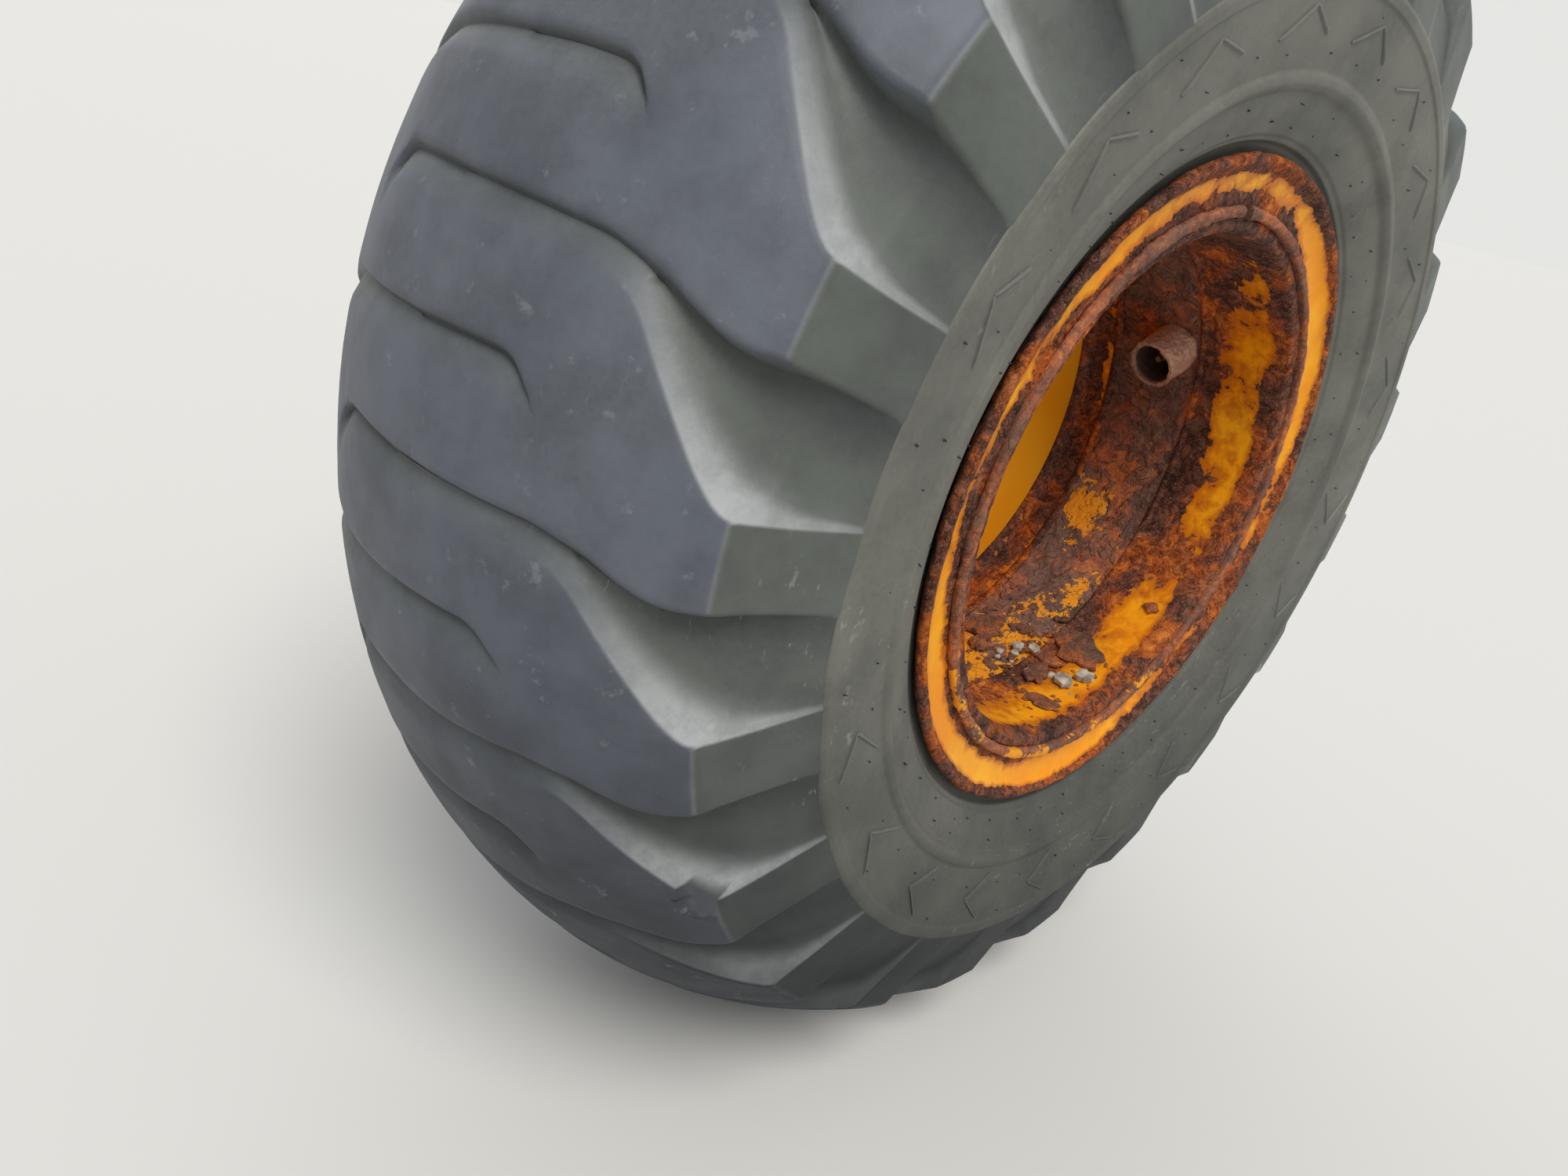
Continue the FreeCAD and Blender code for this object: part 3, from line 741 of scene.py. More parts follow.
def lathe(name: str, loop: tuple, longest: float, segments: int, start: float = 0.0, sweep: float = 360.0,
          sharp: float = 40.0, patches: tuple = ()) -> Piece:
    """Solid turned about the wheel's axis from a closed section.

    Args:
        name: the object's name.
        loop: corners of the section, with stations from the mid-plane.
        longest: longest step along the section.
        segments: steps round the axis.
        start: first angle in degrees.
        sweep: how far round it goes in degrees.
        sharp: angle in degrees over which an edge stays sharp.
        patches: where rust differs round the wheel: middle and half width in degrees, and what is added.

    Returns:
        The object.
    """
    station, radius, rust = section(loop, longest)
    whole = sweep >= 360.0
    angles = np.radians(start + sweep * np.arange(segments if whole else segments + 1) / segments)
    uneven = np.zeros(len(angles))
    for middle, half, more in patches:
        near = np.clip(1 - np.abs((np.degrees(angles) - middle + 180) % 360 - 180) / half, 0, 1)
        uneven += more * near**2 * (3 - 2 * near)
    size = len(angles), len(station)
    return outward(new_piece(
        name, on_circle(radius, station + MID_PLANE, angles[:, None]),
        grid_faces(*size, True, True) if whole else tube_faces(*size),
        {"rust": np.clip(rust + uneven[:, None], 0, 1.1).ravel()}, sharp))


def outward(piece: Piece) -> Piece:
    """Turns a closed mesh's faces outwards.

    Args:
        piece: object whose mesh is closed.

    Returns:
        The same object.
    """
    piece.data.calc_loop_triangles()
    corners = np.array([t.vertices for t in piece.data.loop_triangles])
    a, b, c = (vertices(piece)[corners[:, k]] for k in range(3))
    if np.einsum("ij,ij->", a, np.cross(b, c)) < 0:
        piece.data.flip_normals()
    return piece


@dataclass
class Maker:
    """What every sub-assembly needs: the shared groups and trees, and the way pieces are put on the wheel."""

    effects: Effects
    shapers: Shapers
    finished: list[str] = field(default_factory=list)

    def hand_in(self, piece: Piece, finish: Material, slot: Slot, stands_for: tuple[str, ...] = ()) -> None:
        """Gives a piece its material and puts it on the wheel.

        Args:
            piece: finished object.
            finish: its material.
            slot: its slot in the record; not used.
            stands_for: CAD nodes that it replaces.
        """
        coat(piece, finish)
        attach(piece, "root")
        if stands_for:
            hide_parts(*stands_for)
        self.finished.append(piece.name)
        LOG.info("%s: %d faces", piece.name, len(piece.data.polygons))

    def rusted(self, piece: Piece, values: dict, finish: Material, *given: object) -> None:
        """Roughens a piece by the rust tree's values, coats it and puts it on the wheel, hiding the nodes given."""
        self.hand_in(shape(piece, self.shapers.rough, {**values, "Material": finish}), finish, *given)

    def ringed(self, piece: Piece, values: dict, finish: Material) -> Piece:
        """Repeats a rubber module round the wheel by the ring tree's values."""
        return shape(piece, self.shapers.ring, {**values, "Material": finish})


@dataclass
class Tread:
    """Directional traction tread, worn low: wide grooves, narrow tails across the middle, flat buttresses.

    Each table gives a value at stations counted from the middle. Edges and lines are in degrees from the groove's own
    angle, depths in millimetres.
    """

    maker: Maker
    crown: float = 771.0
    shoulder: float = 664.0
    half_tread: float = 278.0
    half_section: float = 309.4
    buttress: float = 541.0
    roundness: float = 2.2
    first_angle: float = 162.0
    tail_depth: float = 8.5
    tail_end: float = 138.0
    tail_fade: float = 16.0
    # edges beside the tail's line, its walls and its edges' rounding, in degrees
    tail_shape: tuple = (-0.7, 1.6, 0.42, 1.75, 0.5)
    # edge values across the tail's ten columns: the negative ones darken its upper wall (painted shade), the small
    # positive one is edge wear
    tail_shade_and_wear: tuple = (0.0, 0.0, -0.5, -0.8, -0.3, 0.0, 0.0, 0.0, 0.1, 0.0)
    depth_shares: tuple = (0.0, 0.12, 0.62, 0.93, 1.0, 0.98, 0.87, 0.45, 0.08, 0.0)
    lug_columns: int = 6
    # stations of the rounded shoulder and how far it lies under the lug, then the rows whose edge is worn, and how much
    rounded: tuple = ((275.5, 0.6), (277.6, 2.6))
    worn_rows: tuple = (277, 279.2, 0.3)
    chip_angle: float = 208.8
    chip_reach: float = 30.0
    chip_depth: float = 8.0
    upper_edge: tuple = (
        (0, -0.65), (150, -0.65), (195, 0.2), (212, 1.1), (238, 2.2), (255, 2.5), (284, 2.2), (310, 2.9))
    lower_edge: tuple = (
        (0, 1.5), (145, 1.5), (172, 1.7), (191, 2.9), (218, 6.0), (236, 8.2), (257, 10.9), (273, 12.5), (290, 12.7),
        (310, 12.5))
    upper_wall: tuple = ((0, 0.4), (150, 0.5), (200, 0.9), (240, 0.8), (278, 0.7), (310, 0.5))
    lower_wall: tuple = ((0, 1.8), (150, 1.8), (185, 1.8), (230, 2.1), (278, 1.9), (290, 1.1), (310, 0.6))
    depths: tuple = (
        (0, 9), (150, 10), (195, 13), (238, 28), (262, 39.5), (278, 49), (286, 35.2), (294, 23.2), (302, 11.8),
        (310, 0))
    # share of a painted sheen on each groove's lower wall, by station
    painted_sheen: tuple = ((150, 0), (175, 0.25), (225, 0.6), (262, 0.95), (276, 1.0), (284, 0.85), (302, 0.6), (310, 0.35))
    edge_round: tuple = ((0, 0.4), (150, 0.5), (200, 0.5), (278, 0.3))
    tail_line: tuple = (
        (0, 8.57), (60, 8.35), (106, 8.3), (120, 9.1), (137, 10.8), (191, 12.4), (218, 13.4), (257, 15.0), (278, 15.9),
        (310, 15.9))
    under: tuple = ((300, 538), (292, 556), (262, 592), (205, 664), (120, 712), (0, 738))

    def top(self, station: float | np.ndarray) -> float | np.ndarray:
        """Radius of the worn lugs at a station from the middle to the shoulder."""
        share = np.clip(station, 0, self.half_tread) / self.half_tread
        return self.crown - (self.crown - self.shoulder) * share**self.roundness

    def side(self, share: float) -> tuple[float, float]:
        """Station and radius at a share of the way down the buttress."""
        return (self.half_tread + (self.half_section - self.half_tread) * share,
                self.shoulder + (self.buttress - self.shoulder) * share)

    def rows(self) -> list[tuple[float, float, float]]:
        """Rows across one half of the tread, from the middle outwards.

        Returns:
            Station, radius on the lugs and how far down the buttress each row is.
        """
        flat = [*np.linspace(0, 145, 19), *np.linspace(152, 272, 22)]
        down = [0.025, *np.linspace(0.07, 0.985, 16), 1.0]
        return [*((s, self.top(s), 0.0) for s in flat), *((s, self.top(s) - low, 0.0) for s, low in self.rounded),
                *((*self.side(t), t) for t in down)]

    def groove_columns(self, station: float, radius: float, tail: bool) -> np.ndarray:
        """Ten columns across one groove at a station.

        Args:
            station: distance from the middle.
            radius: radius of the lug beside the groove.
            tail: whether it is the narrow tail of the other side's groove.

        Returns:
            Three rows: angles in degrees, radii in millimetres and edge wear.
        """
        def look(table: tuple, blur: float = 0.0) -> float:
            """Value of a table at the station, blurred over some millimetres."""
            return float(np.mean(np.interp(station + blur * np.linspace(-1, 1, 5), *zip(*table))))

        if tail:
            centre = look(self.tail_line, 11.0)
            fade = float(np.clip((self.tail_end - station) / self.tail_fade, 0, 1))
            depth = self.tail_depth * (3 - 2 * fade) * fade * fade
            upper, lower, wall_up, wall_low, soft = self.tail_shape
            upper, lower, wear = centre + upper, centre + lower, self.tail_shade_and_wear
        else:
            upper, lower, soft = look(self.upper_edge, 7.0), look(self.lower_edge, 7.0), look(self.edge_round)
            wall_up, wall_low = look(self.upper_wall), look(self.lower_wall)
            depth, bright = look(self.depths), look(self.painted_sheen)
            # edge values across the groove: the negative ones darken the upper wall and floor (painted shade), those on
            # the lower wall are painted sheen, with a little edge wear at its edge
            wear = [0.0, 0.0, -0.6, -1.0, -0.6, 0.0, 0.3 * bright, 0.85 * bright, max(0.1, bright), 0.0]
        on_top = station <= self.half_tread
        down = (station - self.half_tread) / (self.half_section - self.half_tread)
        bottom = (float(self.top(station)) if on_top else self.side(down)[1]) - depth
        floor_up, floor_low = upper + wall_up, lower - wall_low
        wide = floor_low - floor_up
        angles = [upper - soft, upper, upper + wall_up * 0.5, floor_up + 0.02, floor_up + wide * 0.3,
                  floor_up + wide * 0.72, floor_low, floor_low + wall_low * 0.5, lower - 0.02, lower + soft]
        strength = min(1.0, depth / 6.0) if station < self.half_tread or tail else 1.0
        radii = radius - max(0.0, radius - bottom) * np.array(self.depth_shares)
        return np.array([angles, radii, np.array(wear) * strength])

    def pitch(self) -> Piece:
        """One pitch of the tread, closed underneath and open at its two sides.

        Returns:
            The module as an object.
        """
        step = 360.0 / LUGS
        half = self.rows()
        made = []
        for k, (station, radius, down) in enumerate(mirrored(half[::-1], -1) + half[1:]):
            inboard = k >= len(half)
            first, second = (self.groove_columns(abs(station), radius, tail) for tail in (inboard, not inboard))
            if inboard:
                first[0] -= step / 2
                second[0] += step / 2
            again = first[:, :1] + np.array([[step], [0], [0]])
            columns = []
            for groove, following in ((first, second[0, 0]), (second, again[0, 0])):
                lug = np.linspace(groove[0, -1], following, self.lug_columns + 2)[1:-1]
                columns += [groove, [lug, 0 * lug + radius, 0 * lug]]
            angles, heights, wear = np.hstack([*columns, again])
            depth = radius - heights
            first_worn, last_worn, end = self.worn_rows
            end = end if first_worn < abs(station) < last_worn else 0.0
            hollow = np.minimum(1.0, depth / 12.0) if down <= 0 else np.ones(len(depth))
            # wear carries the grooves' painted shade and sheen as well as the worn rows' edge wear
            made.append((station, angles, heights, hollow, np.where((depth < 3) & (wear < end), end, wear)))
        outboard, inboard, plain = made[0][1], made[-1][1], np.ones(len(made[0][1]))
        for station, radius in (*self.under, *mirrored(self.under[-2::-1], -1)):
            made.append((station, inboard if station > 0 else outboard, radius * plain, plain, 0 * plain))
        stations, angles, radii, hollows, edges = (np.array(part) for part in zip(*made))
        points = on_circle(radii, stations[:, None] + MID_PLANE, np.radians(angles + self.first_angle))
        return new_piece("tread", points, grid_faces(*radii.shape, True, False),
                         {"hollow": hollows.ravel(), "edge": edges.ravel()}, 180.0)

    def chip(self, piece: Piece) -> None:
        """Tears a bite out of one lug's outboard corner.

        Args:
            piece: the whole tread.
        """
        out, back = on_wheel(math.radians(self.chip_angle))
        face = 0.8 * out - 0.22 * back - np.array([0.0, 0.55, 0.0])
        face /= np.linalg.norm(face)
        points, wear_and_painted_light = vertices(piece), np.empty(len(piece.data.vertices), np.float32)
        off = points - (self.shoulder * out + np.array([0.0, MID_PLANE - self.half_tread, 0.0]))
        near = np.linalg.norm(off, axis=1) < self.chip_reach
        past = np.where(near, off @ face + self.chip_depth, 0.0).clip(0)
        piece.data.vertices.foreach_set("co", ((points - past[:, None] * face) * MM).ravel())
        edge = piece.data.attributes["edge"].data
        edge.foreach_get("value", wear_and_painted_light)
        edge.foreach_set("value", np.where(past > 2.5, 0.25, wear_and_painted_light).astype(np.float32))

    def build(self, finish: Material) -> None:
        """Repeats the pitch round the wheel and puts the tread on the wheel.

        Args:
            finish: rubber.
        """
        piece = outward(self.maker.ringed(self.pitch(), {
            "Count": LUGS, "Step": 2 * math.pi / LUGS, "Join": 0.00004, "Wear": 0.004, "Wear Scale": 7.0, "Seed": 3.0},
            finish))
        self.chip(piece)
        piece.data.set_sharp_from_angle(angle=math.radians(62))
        self.maker.hand_in(piece, finish, Slot.RUBBER, ("tyre",))


@dataclass
class Casing:
    """Sidewalls with their ridge, fine rings and beads, and the hollow inside."""

    maker: Maker
    segments: int = 252
    outer: tuple = (
        (247.5, 311.6, 0, 3), (247.5, 353.5, 0, 3), (257, 374, 0, 4), (262.5, 389, 0, 3), (268.5, 391.5, 0, 1.5),
        (270.5, 396, 0, 1.5), (274, 398.5, 0, 2), (285.5, 420, 0, 12), (290.5, 438, 0, 3), (296.5, 442.5, 0, 2.5),
        (300.2, 448, 0, 2.5), (299.6, 454.5, 0, 2), (297.4, 459, 0, 2), (304.5, 492, 0, 20), (307.4, 530, 0, 2),
        (309.7, 532.5, 0, 1), (309.95, 541.5, 0, 1), (308.4, 545.5, 0, 1), (298, 552, 0, 3), (262, 604, 0, 0),
        (205, 676, 0, 0), (120, 724, 0, 0))
    inner: tuple = (
        (100, 690, 0, 0), (236, 612, 0, 10), (259, 500, 0, 10), (252, 430, 0, 10), (183, 322, 0, 4),
        (177.5, 311.6, 0, 2))
    middle: tuple = (0, 750, 0, 0)

    def build(self, finish: Material) -> None:
        """Turns the casing.

        Args:
            finish: rubber.
        """
        loop = [*mirrored(self.outer, -1), self.middle, *self.outer[::-1], *self.inner[::-1], *mirrored(self.inner, -1)]
        piece = lathe("tyre_casing", loop, 14.0, self.segments, sharp=50)
        for label, value in (("hollow", 1.0), ("edge", 0.0)):
            set_numbers(piece.data, label, np.full(len(piece.data.vertices), value))
        self.maker.hand_in(piece, finish, Slot.RUBBER, ("tyre",))


def wall(radius: float) -> float:
    """Station of the sidewall's face at a radius."""
    table = ([398, 420], [274, 285.5]) if radius < 424 else ([424, 459, 492, 531], [287.5, 297.4, 304.5, 307.6])
    return float(np.interp(radius, *table))


@dataclass
class SidewallMarks:
    """Thin raised strokes on the sidewall, one pair for each lug."""

    maker: Maker
    width: float = 3.2
    height: float = 2.2
    steps: int = 9
    # angle in degrees and radius of each stroke's ends, how many pairs, and which way they follow one another
    sets: tuple = (
        ("lower", (((197.9, 497), (202.9, 523)), ((197.9, 497), (203.5, 464))), 10, -1),
        ("upper", (((152.4, 515), (147.9, 491)), ((152.4, 515), (158.3, 489))), 9, 1))

    def stroke(self, ends: tuple, side: int) -> list[tuple]:
        """A thin raised bar along the sidewall.

        Args:
            ends: angle in degrees and radius of each of its ends.
            side: -1 outboard, 1 inboard.

        Returns:
            Points in millimetres, ring by ring.
        """
        first, last = (np.array([r * math.cos(math.radians(a)), r * math.sin(math.radians(a))]) for a, r in ends)
        across = np.array([-(last - first)[1], (last - first)[0]])
        across = across / np.linalg.norm(across) * self.width / 2
        shoulder = self.height * 0.75
        points = []
        for t in np.linspace(0, 1, self.steps):
            for shift, lift in ((-1, -2.0), (-0.75, shoulder), (0, self.height), (0.75, shoulder), (1, -2.0)):
                spot = first + (last - first) * t + across * shift
                taper = self.height * 0.6 if t in (0.0, 1.0) and lift > 0 else 0.0
                points.append((spot[0], MID_PLANE + side * (wall(float(np.hypot(*spot))) + lift - taper), spot[1]))
        return points

    def build(self, finish: Material) -> None:
        """Makes the strokes of both sides.

        Args:
            finish: rubber.
        """
        for side, label in SIDES:
            for kind, marks, count, way in self.sets:
                points, faces = [], []
                for ends in marks:
                    faces += [[k + len(points) for k in face] for face in tube_faces(self.steps, 5)]
                    points += self.stroke(ends, side)
                name = f"sidewall_marks_{kind}_{label}"
                pair = outward(new_piece(name, points, faces, {"hollow": 1.0, "edge": 0.25}, 60))
                values = {"Count": count, "Step": way * 2 * math.pi / LUGS, "Join": 0.0}
                self.maker.hand_in(self.maker.ringed(pair, values, finish), finish, Slot.RUBBER)


@dataclass
class VentNubs:
    """Short rubber hairs left by the mould's vents, round both sidewalls."""

    maker: Maker
    rings: tuple = ((408, 44), (426, 30), (478, 42), (520, 21))
    seed: int = 5
    corners: int = 6
    sunk: float = 1.2

    def build(self, finish: Material) -> None:
        """Sets the nubs on both sides.

        Args:
            finish: rubber.
        """
        chance = np.random.default_rng(self.seed)
        turn = np.linspace(0, 2 * math.pi, self.corners, endpoint=False)
        for side, label in SIDES:
            points, faces = [], []
            for radius, count in self.rings:
                for k in range(count):
                    angle = 2 * math.pi * (k + chance.uniform(-0.3, 0.3)) / count
                    r, lean = radius + chance.uniform(-4, 4), chance.uniform(-1.2, 1.2, 2)
                    height, wide = chance.uniform(1.6, 4.4), chance.uniform(0.8, 1.4)
                    foot = [r * math.cos(angle), MID_PLANE + side * (wall(r) - self.sunk), r * math.sin(angle)]
                    faces += [[j + len(points) for j in face] for face in tube_faces(2, self.corners)]
                    for lift, size in ((0.0, wide), (height, wide * 0.6)):
                        points += [(foot[0] + size * math.cos(t) + lean[0] * lift / 3, foot[1] + side * lift,
                                    foot[2] + size * math.sin(t) + lean[1] * lift / 3) for t in turn]
            piece = new_piece(f"vent_nubs_{label}", points, faces, {"hollow": 1.0, "edge": 0.0})
            self.maker.hand_in(outward(piece), finish, Slot.RUBBER)


@dataclass
class SideRing:
    """Flange with an upright leg, a smooth hollow outer face and a rolled, rusty lip."""

    maker: Maker
    segments: int = 400
    patches: tuple = ((-28, 62, 0.42), (95, 60, 0.12), (165, 40, 0.2))
    loop: tuple = (
        (247.5, 317.7, 0.5, 2), (247.5, 349, 0.7, 4), (254, 364, 0.8, 5), (264, 377, 0.9, 4), (269.5, 381, 1.0, 3.5),
        (275, 378, 1.05, 3), (274.8, 371.5, 0.95, 3), (269.5, 366, 0.5, 3), (264.6, 357, 0.16, 6),
        (261.9, 345, 0.24, 6), (261.5, 333, 0.6, 3), (261.5, 317.7, 0.8, 1.5))

    def build(self, finish: Material) -> None:
        """Makes both rings.

        Args:
            finish: paint.
        """
        for side, node in ((-1, "outer_side_ring"), (1, "inner_side_ring")):
            piece = lathe(f"{node}_dressed", mirrored(self.loop, side), 2.6, self.segments, patches=self.patches)
            self.maker.rusted(piece, {"Pits": 0.004, "Plates": 0.0012, "Seed": 2.0 + side}, finish, Slot.PAINT, (node,))


@dataclass
class RimBase:
    """Welded base: gutter ring, centre band and back section, with the seams between them and the disc's welds."""

    maker: Maker
    gutter_seam: float = -148.0
    back_seam: float = -22.0
    barrel: float = 297.0
    bead_segments: int = 720
    # more rust round the top (85 degrees), where the darker rust also stands in for shade over the barrel's upper part:
    # rust and painted shade
    patches: tuple = ((85, 70, 0.2), (-35, 40, 0.12), (-95, 25, -0.12))
    gutter: tuple = (
        (gutter_seam, 297.5, 1.0, 0), (-168, 297, 0.85, 0), (-195, 297, 0.55, 0), (-232, 297, 0.42, 0),
        (-248, 297.2, 0.72, 6), (-262.6, 301.5, 0.9, 5), (-264, 309, 1.0, 3), (-263.5, 315.4, 1.0, 2),
        (-259, 316, 1.0, 1), (-254, 315.5, 1.0, 1), (-254, 306, 0.8, 0), (-233, 306, 0.6, 0), (-233, 308, 0.5, 0),
        (gutter_seam, 308, 0.5, 0))
    centre: tuple = (
        (back_seam, 297.6, 0.9, 0), (-60, 297.3, 1.0, 0), (-110, 297.3, 1.0, 0), (gutter_seam, 297.6, 0.95, 0),
        (gutter_seam, 308, 0.3, 0), (back_seam, 308, 0.3, 0))
    back: tuple = (
        (back_seam, 297.4, 0.5, 0), (back_seam, 308, 0.3, 0), (139, 308, 0.3, 4), (247.5, 317.5, 0.3, 0),
        (261.3, 317.5, 0.5, 0), (261.3, 333, 0.9, 2), (268, 332.5, 0.95, 3), (275.5, 326.5, 0.85, 4),
        (275.5, 298, 0.7, 4), (258, 297, 0.5, 3), (60, 297, 0.42, 0), (25, 297, 0.8, 0))
    # sections of the welds: shares of the leg along the axis and inwards, millimetres outwards, rust
    flat_bead: tuple = ((-1, 0, 1.0, 0.8), (-0.5, 0.3, 0, 0.9), (0, 0.42, 0, 1.0), (0.5, 0.3, 0, 0.9), (1, 0, 1.0, 0.8))
    fillet: tuple = ((0, 0, 0.4, 0.4), (0, 1, 0, 0.5), (0.42, 0.72, 0, 0.4), (0.75, 0.4, 0, 0.4), (1, 0, 0.4, 0.5))
    # name, heel's station, leg, way it faces along the axis or 0 for a flat bead
    seams: tuple = (("seam_gutter", gutter_seam, 5.0, 0), ("seam_back", back_seam, 6.0, 0),
                    ("disc_weld_front", 25.2, 15.0, -1), ("disc_weld_back", 44.8, 15.0, 1))

    def build(self, paint: Material, rusty: Material, weld: Material) -> None:
        """Makes the three sections and the welds.

        Args:
            paint: painted finish.
            rusty: scaled rust.
            weld: painted finish of the weld beads.
        """
        sections = [
            # node, section, longest step, segments, pits, plates, finish, slot
            ("rim_gutter_ring", self.gutter, 4.0, 300, 0.0028, 0.0009, paint, Slot.PAINT),
            ("rim_centre_band", self.centre, 2.6, 500, 0.0075, -0.0026, rusty, Slot.RUST),
            ("rim_back_section", self.back, 5.0, 300, 0.002, 0.0006, paint, Slot.PAINT),
        ]
        for node, loop, longest, segments, pits, plates, finish, slot in sections:
            piece = lathe(f"{node}_dressed", loop, longest, segments, patches=self.patches)
            self.maker.rusted(piece, {"Pits": pits, "Plates": plates, "Seed": 4.0}, finish, slot, (node,))
        ripples = {"Pits": 0.002, "Plates": 0.0, "Ripples": 0.0009, "Ripple Count": 118.0}
        for name, station, leg, side in self.seams:
            loop = [(station + (side or 1) * leg * along, self.barrel - leg * inward + out, rust)
                    for along, inward, out, rust in (self.fillet if side else self.flat_bead)]
            self.maker.rusted(lathe(name, loop, 3.2, self.bead_segments, sharp=180), ripples, weld, Slot.PAINT)


@dataclass
class LockRing:
    """Split ring in the gutter, its upstand outboard of the side ring."""

    maker: Maker
    start: float = 93.0
    gap: float = math.degrees(16 / 306)
    loop: tuple = (
        (-253.8, 306, 0.9, 1), (-253.8, 316.2, 0.9, 1), (-268.5, 316.6, 1, 2), (-270.2, 320, 1, 2.5),
        (-269.8, 326.5, 1, 2.5), (-266, 328, 1, 2), (-262, 327, 1, 1.5), (-261.7, 317.5, 0.8, 0),
        (-233.2, 317.3, 0.6, 0), (-233.2, 306, 0.6, 0))

    def build(self, finish: Material) -> None:
        """Turns the ring, open at its split."""
        piece = lathe("lock_ring_dressed", self.loop, 2.6, 420, start=self.start, sweep=360 - self.gap)
        self.maker.rusted(piece, {"Pits": 0.006, "Plates": 0.0014, "Seed": 8.0}, finish, Slot.RUST, ("lock_ring",))


@dataclass
class ValveGuard:
    """Open pipe stub over the valve, thick with rust, with the valve inside it."""

    maker: Maker
    angle: float = 26.0
    station: float = -109.0
    barrel: float = 297.8
    # distance from the wheel's axis, radius, rust and rounding; the low rust inside the pipe also darkens it in the
    # rust finish: painted shade
    pipe: tuple = ((297.8, 26.6, 0.1, 0), (249.4, 26.6, 0.35, 0), (240.4, 26.6, 0.95, 1.5), (240.4, 31, 1, 2),
                   (297.8, 31, 1, 0))
    stem: tuple = ((297.6, 0.02, 0), (297.6, 7, 0), (283, 7, 0), (281, 4.6, 0), (276, 4.6, 0), (275, 6.5, 0),
                   (266, 6.5, 0), (264, 4.2, 0), (257.5, 4, 0), (257.2, 0.02, 0))

    def turned(self, name: str, profile: tuple, segments: int, longest: float) -> Piece:
        """Solid turned about the guard's own line, its foot cut to the barrel.

        Args:
            name: the object's name.
            profile: section of the pipe or the stem.
            segments: steps round it.
            longest: longest step along it.

        Returns:
            The object in its place.
        """
        along, radius, rust = section(profile, longest, 3)
        turn = np.radians(360 * np.arange(segments) / segments)
        out, side = on_wheel(math.radians(self.angle))
        points = (along[None, :, None] * out + np.outer(np.sin(turn), radius)[:, :, None] * side).reshape(-1, 3)
        points[:, 1] += np.outer(np.cos(turn), radius).ravel() + self.station + MID_PLANE
        reach = np.sqrt(np.maximum(self.barrel**2 - (points @ side) ** 2, 0))
        points -= np.maximum(points @ out - reach, 0)[:, None] * out
        faces = grid_faces(segments, len(along), True, True)
        return outward(new_piece(name, points, faces, {"rust": np.tile(rust, segments)}, 50))

    def build(self, rusty: Material, brass: Material) -> None:
        """Makes the pipe and the valve.

        Args:
            rusty: scaled rust.
            brass: dirty brass.
        """
        self.maker.rusted(self.turned("valve_guard_dressed", self.pipe, 110, 1.6), {
            "Pits": 0.0065, "Plates": 0.0014, "Scale": 2.2, "Seed": 5.0}, rusty, Slot.RUST, ("valve_guard",))
        self.maker.hand_in(self.turned("valve_dressed", self.stem, 40, 6), brass, Slot.BRASS, ("valve",))


